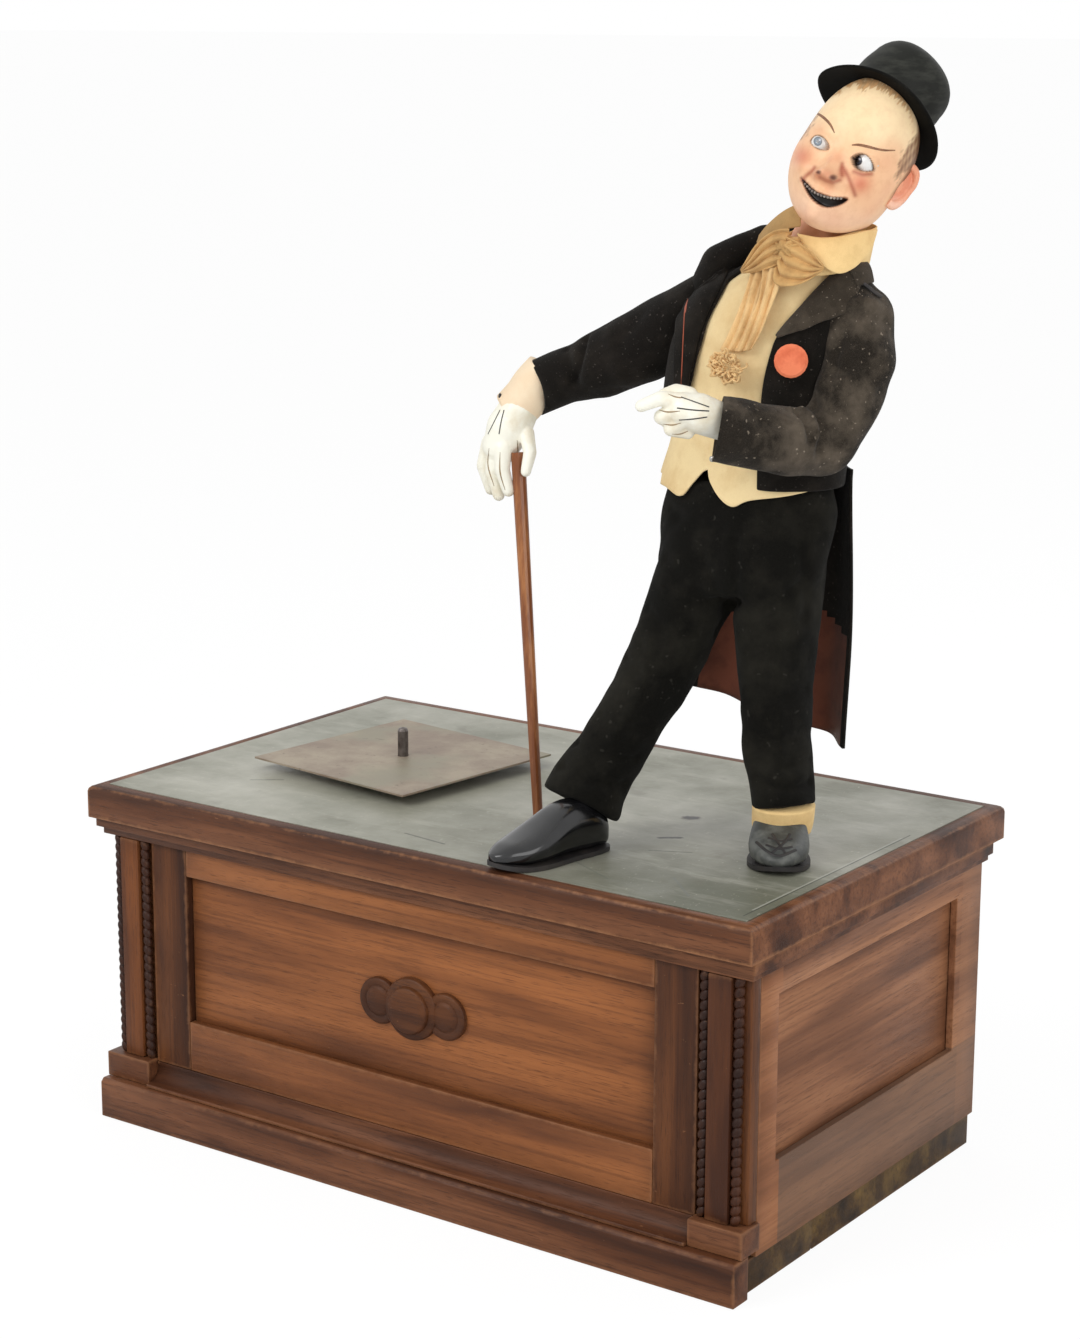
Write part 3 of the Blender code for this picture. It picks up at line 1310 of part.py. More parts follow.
def make_head():
    head = head_shape()
    join(head, cylinder("neck", neck_foot, neck_foot + neck_line * 0.055, neck_radius, face_paint(), 24))
    for side in (-1, 1):
        place = head_point(ear_place[0], side * ear_place[1], ear_place[2])
        rings = []
        for k in range(1, 8):
            level = -cos(pi * k / 8)
            round_at = sin(pi * k / 8)
            rings.append(ring_at(place + head_up * (ear_half[2] * level), head_front, head_left,
                                 ear_half[0] * round_at, ear_half[1] * round_at, 12))
        join(head, loft("ear", rings, face_paint()))
    for side in (-1, 1):
        place = head_point(eye_set, side * eye_spread, eye_rise)
        cut(head, ball("socket", place, eye_radius + running, steel(), 12, 8))
    smile = []
    for k in range(7):
        t = -1 + 2 * k / 6
        smile.append((t * smile_half, smile_upper + smile_curl * t * t))
    for k in range(5, 0, -1):
        t = -1 + 2 * k / 6
        smile.append((t * smile_half, smile_lower + (smile_curl + smile_upper - smile_lower) * t * t))
    deep = [[head_point(f, left, up) for left, up in smile] for f in (0.033, 0.080)]
    cut(head, loft("smile", deep, steel()))
    seat = head_centre + hat_axis * hat_seat
    cut(head, cylinder("hat_room", seat - hat_axis * gap, seat + hat_axis * 0.06, 0.07, steel()))
    hang_on(head, neck_foot)
    hang_on(turned("hat", hat_profile(), seat, hat_axis, hat_felt(), 24), neck_foot)
    for side, label in ((-1, "right"), (1, "left")):
        place = head_point(eye_set, side * eye_spread, eye_rise)
        hang_on(ball(f"eye_{label}", place, eye_radius, glass_white(), 12, 8), place)


def build():
    clear_scene()
    make_top()
    make_cornice()
    make_front_frame()
    make_rosette()
    make_pilasters()
    make_plinth()
    make_sides()
    make_floor_board()
    make_rear()
    make_plates()
    make_barrel()
    make_camshaft()
    make_fly()
    make_crank()
    make_spindle()
    make_bridge()
    make_display_plate()
    make_bracket()
    make_levers()
    make_rods()
    below = set(bpy.data.objects)
    make_trousers()
    make_shoes()
    make_body()
    make_sleeves()
    make_tails()
    make_cravat()
    make_disc()
    make_right_hand()
    make_left_hand()
    make_head()
    for thing in set(bpy.data.objects) - below:
        thing.location += figure_shift


build()
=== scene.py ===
# Looks for the shop display automaton: a dandy figure on a panelled cabinet.
from math import atan2, copysign, cos, exp, pi, radians, sin

import bmesh
import bpy
import numpy as np
from mathutils import Matrix, Vector, noise
from mathutils.bvhtree import BVHTree


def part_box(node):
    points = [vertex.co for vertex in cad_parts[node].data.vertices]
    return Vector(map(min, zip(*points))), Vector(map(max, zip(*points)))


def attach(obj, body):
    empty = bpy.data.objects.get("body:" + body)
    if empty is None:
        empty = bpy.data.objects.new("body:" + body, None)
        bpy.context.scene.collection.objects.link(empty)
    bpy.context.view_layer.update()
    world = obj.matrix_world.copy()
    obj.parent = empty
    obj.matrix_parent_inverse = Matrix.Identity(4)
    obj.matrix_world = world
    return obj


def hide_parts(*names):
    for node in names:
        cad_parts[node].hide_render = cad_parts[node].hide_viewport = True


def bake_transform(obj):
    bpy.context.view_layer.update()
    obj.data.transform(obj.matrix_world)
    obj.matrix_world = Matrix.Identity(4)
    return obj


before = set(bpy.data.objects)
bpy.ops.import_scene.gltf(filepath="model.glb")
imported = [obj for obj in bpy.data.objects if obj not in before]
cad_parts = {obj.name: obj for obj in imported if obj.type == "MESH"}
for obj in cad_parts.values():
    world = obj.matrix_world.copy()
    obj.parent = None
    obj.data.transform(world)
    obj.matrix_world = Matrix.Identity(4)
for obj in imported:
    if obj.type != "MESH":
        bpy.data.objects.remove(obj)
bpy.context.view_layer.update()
scene = bpy.context.scene
scene.view_settings.view_transform = "Standard"
print("frame loaded")


# Camera, solved from the slab's corners

lens = {"place": (1.2218, -1.7149, 0.8664), "right": (0.8138, 0.5812, 0.0028), "up": (-0.1346, 0.1837, 0.9737),
        "back": (0.5654, -0.7928, 0.2277), "focal": 75.66, "pixels": 2814.26, "middle": (540.0, 669.5)}


def setCamera():
    data = bpy.data.cameras.new("camera")
    data.lens = lens["focal"]
    data.sensor_width = 36.0
    data.clip_start = 0.05
    data.clip_end = 300
    made = bpy.data.objects.new("camera", data)
    scene.collection.objects.link(made)
    right, up, back = Vector(lens["right"]), Vector(lens["up"]), Vector(lens["back"])
    turn = Matrix((right, up, back)).transposed().to_4x4()
    made.matrix_world = Matrix.Translation(lens["place"]) @ turn
    scene.camera = made


def sightLine(px, py):
    # From the camera through a point of the 1080 by 1339 picture.
    dx = (px - lens["middle"][0]) / lens["pixels"]
    dy = (py - lens["middle"][1]) / lens["pixels"]
    ray = Vector(lens["right"]) * dx - Vector(lens["up"]) * dy - Vector(lens["back"])
    return Vector(lens["place"]), ray.normalized()


setCamera()


# Mesh helpers

def meshFrom(name, points, faces, material=None, smooth=True):
    data = bpy.data.meshes.new(name)
    data.from_pydata([tuple(p) for p in points], [], faces)
    made = bpy.data.objects.new(name, data)
    scene.collection.objects.link(made)
    if material:
        data.materials.append(material)
    if smooth:
        data.shade_smooth()
    return made


def gridFaces(rows, cols, wrap=True):
    faces = []
    for r in range(rows - 1):
        for c in range(cols if wrap else cols - 1):
            d = (c + 1) % cols
            faces.append((r * cols + c, r * cols + d, (r + 1) * cols + d, (r + 1) * cols + c))
    return faces


def closedFaces(rows, sides):
    # Rings joined into a skin, with a face over each end.
    return gridFaces(rows, sides) + [tuple(range(sides)), tuple(range((rows - 1) * sides, rows * sides))]


def facingOut(obj):
    shape = bmesh.new()
    shape.from_mesh(obj.data)
    bmesh.ops.remove_doubles(shape, verts=shape.verts, dist=1e-6)
    bmesh.ops.recalc_face_normals(shape, faces=shape.faces)
    shape.to_mesh(obj.data)
    shape.free()
    return obj


def throughPoints(points, steps):
    rows = np.array([tuple(p) for p in points], float)
    full = np.vstack([2 * rows[0] - rows[1], rows, 2 * rows[-1] - rows[-2]])
    out = []
    for k in range(len(rows) - 1):
        a, b, c, d = full[k:k + 4]
        for s in range(steps):
            t = s / steps
            square, cube = 2 * a - 5 * b + 4 * c - d, 3 * b - a - 3 * c + d
            out.append(0.5 * (2 * b + (c - a) * t + square * t ** 2 + cube * t ** 3))
    out.append(rows[-1])
    return np.array(out)


def tube(name, stations, sides=48, steps=6, material=None, upHint=(0, 0, 1)):
    # stations: (x, y, z, half width, half depth); width lies across the path and depth along the hint.
    rows = throughPoints(stations, steps)
    path = rows[:, :3]
    along = np.gradient(path, axis=0)
    along /= np.linalg.norm(along, axis=1)[:, None]
    hint = np.array(upHint, float)
    points = []
    for k, (spot, way) in enumerate(zip(path, along)):
        deep = hint - way * hint.dot(way)
        deep /= np.linalg.norm(deep)
        wide = np.cross(deep, way)
        for s in range(sides):
            t = 2 * pi * s / sides
            points.append(spot + wide * (rows[k, 3] * cos(t)) + deep * (rows[k, 4] * sin(t)))
    return facingOut(meshFrom(name, points, closedFaces(len(rows), sides), material))


def egg(name, centre, axes, sides=24, rings=16, material=None):
    # A ball stretched along three axes given as vectors.
    points, faces = [Vector(centre) - Vector(axes[2])], []
    for r in range(1, rings):
        lift = pi * r / rings
        for s in range(sides):
            t = 2 * pi * s / sides
            points.append(Vector(centre) + Vector(axes[0]) * (sin(lift) * cos(t))
                          + Vector(axes[1]) * (sin(lift) * sin(t)) - Vector(axes[2]) * cos(lift))
    points.append(Vector(centre) + Vector(axes[2]))
    for r in range(rings - 2):
        for s in range(sides):
            n = (s + 1) % sides
            base = 1 + r * sides
            faces.append((base + s, base + n, base + sides + n, base + sides + s))
    last = len(points) - 1
    for s in range(sides):
        n = (s + 1) % sides
        faces.append((0, 1 + n, 1 + s))
        faces.append((last, last - sides + s, last - sides + n))
    return facingOut(meshFrom(name, points, faces, material))


def sharpened(obj, degrees):
    obj.data.set_sharp_from_angle(angle=radians(degrees))


def dropped(obj):
    bpy.data.objects.remove(obj, do_unlink=True)


def settled(obj):
    # Puts the modifiers' result into the mesh.
    graph = bpy.context.evaluated_depsgraph_get()
    graph.update()
    data = bpy.data.meshes.new_from_object(obj.evaluated_get(graph), depsgraph=graph)
    obj.modifiers.clear()
    old, obj.data = obj.data, data
    bpy.data.meshes.remove(old)
    return obj


def fitted(obj, body, *nodes):
    # The piece moves with the body and stands for the nodes.
    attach(obj, body)
    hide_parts(*nodes)
    return obj


def joined(name, parts, material=None):
    shape = bmesh.new()
    for part in parts:
        shape.from_mesh(part.data)
    data = bpy.data.meshes.new(name)
    shape.to_mesh(data)
    shape.free()
    made = bpy.data.objects.new(name, data)
    scene.collection.objects.link(made)
    for part in parts:
        dropped(part)
    if material:
        data.materials.clear()
        data.materials.append(material)
    data.shade_smooth()
    return made


def fused(name, parts, voxel, rounds, material=None):
    # Overlapping closed forms melted into one skin.
    made = joined(name, parts, material)
    melt = made.modifiers.new("melt", "REMESH")
    melt.mode = "VOXEL"
    melt.voxel_size = voxel
    if rounds:
        ease = made.modifiers.new("ease", "SMOOTH")
        ease.factor = 0.5
        ease.iterations = rounds
    settled(made)
    if material and not made.data.materials:
        made.data.materials.append(material)
    made.data.shade_smooth()
    return made


def arrays(obj):
    count = len(obj.data.vertices)
    places, ways = np.empty(count * 3), np.empty(count * 3)
    obj.data.vertices.foreach_get("co", places)
    obj.data.vertices.foreach_get("normal", ways)
    return places.reshape(-1, 3), ways.reshape(-1, 3)


def putBack(obj, places):
    obj.data.vertices.foreach_set("co", places.ravel())
    obj.data.update()


def lineDistance(places, line):
    best = np.full(len(places), 1e9)
    for a, b in zip(line, line[1:]):
        a, b = np.array(a, float), np.array(b, float)
        d = b - a
        t = np.clip((places - a) @ d / (d @ d), 0, 1)
        best = np.minimum(best, np.linalg.norm(places - (a + t[:, None] * d), axis=1))
    return best


def pressFolds(obj, folds):
    # Each fold is (points, width, height); a height below nought presses in.
    places, ways = arrays(obj)
    moved = np.zeros(len(places))
    for line, width, height in folds:
        gap = lineDistance(places, line)
        moved += height * np.exp(-(gap / width) ** 2)
    putBack(obj, places + ways * moved[:, None])
    return obj


def rumple(obj, size, amount, seed):
    # Gentle unevenness, as cloth has over stuffing.
    places, ways = arrays(obj)
    shift = Vector((seed * 3.7, seed * 1.3, seed * 2.1))
    lift = np.array([noise.noise(Vector(p) / size + shift) for p in places])
    putBack(obj, places + ways * (lift * amount)[:, None])
    return obj


def treeOf(obj):
    return BVHTree.FromPolygons([v.co for v in obj.data.vertices], [tuple(f.vertices) for f in obj.data.polygons])


def seenOn(tree, px, py):
    # Where a line of sight first meets a piece, with its normal.
    spot, normal, _, _ = tree.ray_cast(*sightLine(px, py))
    return spot, normal


def inkLine(name, target, pixels, width, lift, material, steps=6):
    # A painted stroke: a thin ribbon laid on the piece through points of the picture.
    tree = treeOf(target)
    spots = [(*seenOn(tree, x, y), share) for x, y, share in throughPoints(pixels, steps)]
    spots = [s for s in spots if s[0] is not None]
    points, faces = [], []
    for k, (spot, normal, share) in enumerate(spots):
        before, after = spots[max(k - 1, 0)][0], spots[min(k + 1, len(spots) - 1)][0]
        side = (after - before).cross(normal).normalized()
        half = width / 2 * share
        points += [spot + side * half + normal * lift * 0.3, spot + normal * lift,
                   spot - side * half + normal * lift * 0.3]
        if k:
            base = 3 * k
            faces += [(base - 3, base - 2, base + 1, base), (base - 2, base - 1, base + 2, base + 1)]
    return meshFrom(name, points, faces, material)


# Shader helpers

def feed(tree, node, values):
    # Links or sets a node's inputs; a colour needs no alpha.
    for key, value in values.items():
        socket = node.inputs[key]
        if isinstance(value, bpy.types.NodeSocket):
            tree.links.new(value, socket)
        elif socket.type == "RGBA":
            socket.default_value = (*value[:3], 1.0)
        else:
            socket.default_value = value
    return node


def put(tree, kind, values=None, **settings):
    made = tree.nodes.new(kind)
    for key, value in settings.items():
        setattr(made, key, value)
    return feed(tree, made, values or {})


def calc(tree, operation, a, b=0.0, c=0.0):
    return put(tree, "ShaderNodeMath", {0: a, 1: b, 2: c}, operation=operation).outputs[0]


def times(tree, a, b):
    return calc(tree, "MULTIPLY", a, b)


def along(tree, operation, a, b=(0.0, 0.0, 0.0)):
    return put(tree, "ShaderNodeVectorMath", {0: a, 1: b}, operation=operation).outputs[0]


def tint(tree, factor, a, b, way="MIX"):
    return put(tree, "ShaderNodeMix", {0: factor, 6: a, 7: b}, data_type="RGBA", blend_type=way).outputs[2]


def spread(tree, value, low, high, to=(0.0, 1.0)):
    return put(tree, "ShaderNodeMapRange", {0: value, 1: low, 2: high, 3: to[0], 4: to[1]}, clamp=True).outputs[0]


def cloud(tree, vector, scale, detail=2.0, rough=0.5):
    return put(tree, "ShaderNodeTexNoise", {"Vector": vector, "Scale": scale, "Detail": detail,
                                            "Roughness": rough}).outputs[0]


def newGroup(name, takes, gives):
    # takes: each input's starting value, None for a vector, three numbers for a colour; gives: each output's kind.
    tree = bpy.data.node_groups.new(name, "ShaderNodeTree")
    for label, value in takes.items():
        kind = "Vector" if value is None else "Float" if isinstance(value, float) else "Color"
        socket = tree.interface.new_socket(label, in_out="INPUT", socket_type="NodeSocket" + kind)
        if value is not None:
            socket.default_value = value if kind == "Float" else (*value, 1.0)
    for label, kind in gives.items():
        tree.interface.new_socket(label, in_out="OUTPUT", socket_type="NodeSocket" + kind)
    return tree, tree.nodes.new("NodeGroupInput").outputs, tree.nodes.new("NodeGroupOutput").inputs


def useGroup(tree, group, **values):
    return put(tree, "ShaderNodeGroup", values, node_tree=group).outputs


def makeGrain():
    # Wood grain running along the X of its vector: broad figure, streaks and short pores.
    tree, take, give = newGroup("woodGrain", {"Vector": None, "Light": (0.4, 0.2, 0.1), "Middle": (0.25, 0.1, 0.05),
                                              "Dark": (0.08, 0.03, 0.02), "Shift": 0.0},
                                {"Color": "Color", "Height": "Float", "Gloss": "Float"})
    move = put(tree, "ShaderNodeCombineXYZ", {0: take["Shift"], 1: take["Shift"], 2: take["Shift"]}).outputs[0]
    place = along(tree, "ADD", take["Vector"], move)
    wobble = cloud(tree, along(tree, "MULTIPLY", place, (3, 9, 9)), 1.0, 2.0)
    bent = along(tree, "ADD", along(tree, "MULTIPLY", place, (2.2, 34, 34)),
                 put(tree, "ShaderNodeCombineXYZ", {0: 0.0, 1: times(tree, wobble, 2.6), 2: 0.0}).outputs[0])
    figure = cloud(tree, bent, 1.0, 3.0, 0.55)
    streak = cloud(tree, along(tree, "MULTIPLY", place, (7, 330, 330)), 1.0, 2.0)
    pores = cloud(tree, along(tree, "MULTIPLY", place, (70, 1500, 1500)), 1.0, 1.0)
    blotch = cloud(tree, along(tree, "MULTIPLY", place, (5, 12, 12)), 1.0, 2.0)
    low = tint(tree, spread(tree, figure, 0.28, 0.48), take["Dark"], take["Middle"])
    high = tint(tree, spread(tree, figure, 0.46, 0.68), low, take["Light"])
    lined = tint(tree, times(tree, spread(tree, streak, 0.5, 0.68), 0.42), high, take["Dark"])
    pored = tint(tree, times(tree, spread(tree, pores, 0.6, 0.7), 0.55), lined, take["Dark"])
    aged = tint(tree, times(tree, spread(tree, blotch, 0.45, 0.72), 0.2), pored, take["Dark"])
    tree.links.new(aged, give["Color"])
    tree.links.new(calc(tree, "SUBTRACT", times(tree, streak, 0.5), spread(tree, pores, 0.58, 0.70)), give["Height"])
    tree.links.new(spread(tree, blotch, 0.3, 0.7), give["Gloss"])
    return tree


def makeEdge():
    # How near a point is to an edge of the box between Low and High: 1 on the edge, 0 past Width.
    tree, take, give = newGroup("edgeWear", {"Vector": None, "Low": None, "High": None, "Width": 0.004,
                                             "Ragged": 0.004},
                                {"Mask": "Float", "Near": "Float"})
    below = put(tree, "ShaderNodeSeparateXYZ", {0: along(tree, "SUBTRACT", take["Vector"], take["Low"])}).outputs
    above = put(tree, "ShaderNodeSeparateXYZ", {0: along(tree, "SUBTRACT", take["High"], take["Vector"])}).outputs
    a, b, c = (calc(tree, "MINIMUM", below[k], above[k]) for k in range(3))
    middle = calc(tree, "MAXIMUM", calc(tree, "MINIMUM", a, b), calc(tree, "MINIMUM", calc(tree, "MAXIMUM", a, b), c))
    rough = cloud(tree, take["Vector"], 90.0, 4.0, 0.65)
    torn = calc(tree, "ADD", middle, times(tree, calc(tree, "SUBTRACT", rough, 0.42), take["Ragged"]))
    tree.links.new(calc(tree, "SUBTRACT", 1.0, spread(tree, calc(tree, "DIVIDE", torn, take["Width"]), 0.15, 1.0)),
                   give["Mask"])
    tree.links.new(calc(tree, "SUBTRACT", 1.0, spread(tree, middle, 0.0, 0.02)), give["Near"])
    return tree


def makeDust():
    # Scattered specks and a soft bloom: dust, and on some cloths also painted highlight.
    tree, take, give = newGroup("dust", {"Vector": None, "Size": 60.0}, {"Bloom": "Float", "Specks": "Float"})
    tree.links.new(spread(tree, cloud(tree, take["Vector"], take["Size"], 5.0, 0.62), 0.45, 0.75), give["Bloom"])
    fine = cloud(tree, take["Vector"], times(tree, take["Size"], 14.0), 1.0)
    tree.links.new(spread(tree, fine, 0.7, 0.76), give["Specks"])
    return tree


grainGroup, edgeGroup, dustGroup = makeGrain(), makeEdge(), makeDust()


def newMaterial(name):
    made = bpy.data.materials.new(name)
    made.use_nodes = True
    tree = made.node_tree
    return made, tree, tree.nodes["Principled BSDF"], put(tree, "ShaderNodeTexCoord").outputs["Object"]


def bumped(tree, shader, height, strength, distance):
    bump = put(tree, "ShaderNodeBump", {"Height": height, "Strength": strength, "Distance": distance})
    tree.links.new(bump.outputs[0], shader.inputs["Normal"])


woods = {
    "panel": ((0.35, 0.125, 0.04), (0.215, 0.074, 0.025), (0.09, 0.031, 0.013)),
    "rail": ((0.37, 0.135, 0.044), (0.24, 0.084, 0.029), (0.11, 0.038, 0.016)),
    "stile": ((0.2, 0.07, 0.022), (0.105, 0.035, 0.012), (0.034, 0.012, 0.006)),
    "slab": ((0.27, 0.108, 0.048), (0.135, 0.048, 0.02), (0.04, 0.014, 0.007)),
    "side": ((0.44, 0.205, 0.1), (0.28, 0.12, 0.058), (0.105, 0.042, 0.022)),
    "rope": ((0.11, 0.036, 0.014), (0.055, 0.018, 0.008), (0.016, 0.006, 0.004)),
    "strip": ((0.24, 0.08, 0.024), (0.15, 0.048, 0.015), (0.055, 0.018, 0.008)),
    "bare": ((0.22, 0.13, 0.035), (0.085, 0.045, 0.015), (0.02, 0.011, 0.005))}
zones = {  # parts of the side frame, as boxes, with the colour each leans to and how far
    "side_frame_right": (((0.2, -0.127, 0.0), (0.35, 0.3, 0.0905), (0.13, 0.09, 0.064), 0.55),
                         ((0.2, -0.3, 0.0), (0.35, -0.127, 0.3), (0.4, 0.15, 0.055), 0.3),
                         ((0.2, 0.14, 0.0), (0.35, 0.3, 0.3), (0.33, 0.16, 0.085), 0.35)),
    "side_frame_left": (((-0.35, -0.127, 0.0), (-0.2, 0.3, 0.0905), (0.115, 0.08, 0.058), 0.6),)}
wearTone = (0.3, 0.135, 0.06)
grimeTone = (0.014, 0.008, 0.007)


def woodFinish(name, tones, low, high, grain="x", wear=0.5, width=0.003, rough=(0.34, 0.52), shift=0.0, grime=0.5):
    made, tree, shader, place = newMaterial(name)
    turns = {"x": (0, 0, 0), "y": (0, 0, -pi / 2), "z": (0, pi / 2, 0)}
    turned = put(tree, "ShaderNodeMapping", {"Vector": place, "Rotation": turns[grain]}).outputs[0]
    light, middle, dark = woods[tones]
    wood = useGroup(tree, grainGroup, Vector=turned, Light=light, Middle=middle, Dark=dark, Shift=shift)
    edge = useGroup(tree, edgeGroup, Vector=place, Low=low, High=high, Width=width, Ragged=width * 2.2)
    dirty = times(tree, edge["Near"], cloud(tree, place, 35.0, 3.0))
    colour = wood["Color"]
    for a, b, tone, share in zones.get(name.removesuffix("_wood"), ()):
        above = [calc(tree, "GREATER_THAN", put(tree, "ShaderNodeSeparateXYZ", {0: place}).outputs[k],
                      a[k]) for k in range(3)]
        below = [calc(tree, "LESS_THAN", put(tree, "ShaderNodeSeparateXYZ", {0: place}).outputs[k],
                      b[k]) for k in range(3)]
        inside = share
        for side in above + below:
            inside = times(tree, side, inside)
        colour = tint(tree, inside, colour, tone)
    colour = tint(tree, times(tree, dirty, grime), colour, grimeTone)
    colour = tint(tree, times(tree, edge["Mask"], wear), colour, wearTone)
    nick = spread(tree, cloud(tree, along(tree, "MULTIPLY", place, (1, 1, 2.5)), 120.0, 3.0, 0.7), 0.7, 0.74)
    colour = tint(tree, times(tree, nick, 0.45), colour, wearTone)
    feed(tree, shader, {"Base Color": colour, "Roughness": spread(tree, wood["Gloss"], 0.0, 1.0, rough),
                        "Specular IOR Level": 0.2})
    bumped(tree, shader, wood["Height"], 0.35, 0.0004)
    return made


def clothFinish(name, base, dustAndLight, bloom=0.35, specks=0.25, rough=0.95, sheen=0.25, fuzz=0.5, size=38.0):
    made, tree, shader, place = newMaterial(name)
    dirt = useGroup(tree, dustGroup, Vector=place, Size=size)
    fibre = cloud(tree, place, 2600.0, 2.0, 0.7)
    ribbed = put(tree, "ShaderNodeTexWave", {"Vector": place, "Scale": 620.0, "Distortion": 3.0, "Detail": 2.0,
                                             "Detail Scale": 2.0}, bands_direction="DIAGONAL").outputs["Fac"]
    # The lighter tone laid in clouds is dust, and on the trousers, the left sleeve and the lapel it is also painted
    # highlight.
    colour = tint(tree, times(tree, dirt["Bloom"], bloom), base, dustAndLight)
    colour = tint(tree, times(tree, spread(tree, fibre, 0.5, 0.75), 0.35), colour, dustAndLight)
    colour = tint(tree, times(tree, dirt["Specks"], specks), colour, [min(1.0, v * 3.2 + 0.06) for v in dustAndLight])
    feed(tree, shader, {"Base Color": colour, "Roughness": rough, "Sheen Weight": sheen, "Sheen Roughness": 0.5,
                        "Specular IOR Level": 0.12})
    height = calc(tree, "ADD", times(tree, fibre, 1.0), times(tree, ribbed, 0.5))
    bumped(tree, shader, height, fuzz, 0.0005)
    return made


def plainFinish(name, base, second, scale=30.0, rough=(0.4, 0.6), metallic=0.0, coat=0.0, bump=0.1, stretch=(1, 1, 1),
                mark=(0.45, 0.65), distance=0.0003, spec=0.5):
    made, tree, shader, place = newMaterial(name)
    shader.inputs["Specular IOR Level"].default_value = spec
    mist = cloud(tree, along(tree, "MULTIPLY", place, stretch), scale, 5.0, 0.6)
    feed(tree, shader, {"Base Color": tint(tree, spread(tree, mist, *mark), base, second),
                        "Roughness": spread(tree, mist, 0.3, 0.7, rough), "Metallic": metallic, "Coat Weight": coat,
                        "Coat Roughness": 0.12})
    bumped(tree, shader, mist, bump, distance)
    return made


def paintedMaterial(name, rough, bump=0.05, coat=0.0, spec=0.5):
    made, tree, shader, place = newMaterial(name)
    paint = put(tree, "ShaderNodeAttribute", attribute_name="paint")
    mottle = cloud(tree, place, 160.0, 4.0, 0.65)
    tree.links.new(tint(tree, times(tree, spread(tree, mottle, 0.45, 0.75), 0.16), paint.outputs["Color"],
                        (0.55, 0.28, 0.15), "MULTIPLY"), shader.inputs["Base Color"])
    feed(tree, shader, {"Roughness": rough, "Coat Weight": coat, "Coat Roughness": 0.05, "Specular IOR Level": spec})
    if bump:
        bumped(tree, shader, mottle, bump, 0.0006)
    return made


topMarks = (  # from, to, width, colour and strength of seams, holes and scratches in the top
    ((0.2835, -0.15), (0.2835, 0.06), 0.0011, (0.42, 0.42, 0.36), 0.75),
    ((0.285, -0.165), (0.285, 0.07), 0.0007, (0.012, 0.018, 0.012), 0.8),
    ((0.127, 0.013), (0.131, 0.015), 0.0065, (0.045, 0.022, 0.015), 0.9),
    # The black centre of the hole and the black slot are painted shade inside these openings.
    ((0.127, 0.013), (0.131, 0.015), 0.004, (0.006, 0.005, 0.005), 0.95),
    ((0.139, -0.044), (0.151, -0.035), 0.003, (0.008, 0.008, 0.007), 0.9),
    ((0.15, -0.075), (0.178, -0.062), 0.001, (0.02, 0.03, 0.02), 0.6),
    ((0.2, -0.12), (0.232, -0.15), 0.0012, (0.16, 0.17, 0.15), 0.6),
    ((0.12, -0.128), (0.165, -0.15), 0.001, (0.15, 0.17, 0.14), 0.5),
    ((-0.02, -0.145), (0.02, -0.15), 0.0014, (0.015, 0.02, 0.015), 0.6),
    ((-0.21, -0.1), (-0.19, -0.085), 0.0014, (0.015, 0.02, 0.015), 0.6))


def strokeMask(tree, place, a, b, wide):
    # 1 on the straight stroke from a to b on the top, fading over its ragged edge.
    dx, dy = b[0] - a[0], b[1] - a[1]
    flat = put(tree, "ShaderNodeSeparateXYZ", {0: place}).outputs
    x, y = calc(tree, "SUBTRACT", flat[0], a[0]), calc(tree, "SUBTRACT", flat[1], a[1])
    size = dx * dx + dy * dy
    run = calc(tree, "ADD", times(tree, x, dx / size), times(tree, y, dy / size))
    held = put(tree, "ShaderNodeClamp", {0: run}).outputs[0]
    ex = calc(tree, "SUBTRACT", x, times(tree, held, dx))
    ey = calc(tree, "SUBTRACT", y, times(tree, held, dy))
    gap = calc(tree, "SQRT", calc(tree, "ADD", times(tree, ex, ex), times(tree, ey, ey)))
    ragged = calc(tree, "ADD", gap, times(tree, calc(tree, "SUBTRACT", cloud(tree, place, 260.0, 3.0), 0.5), wide))
    return spread(tree, ragged, wide, wide * 0.45)


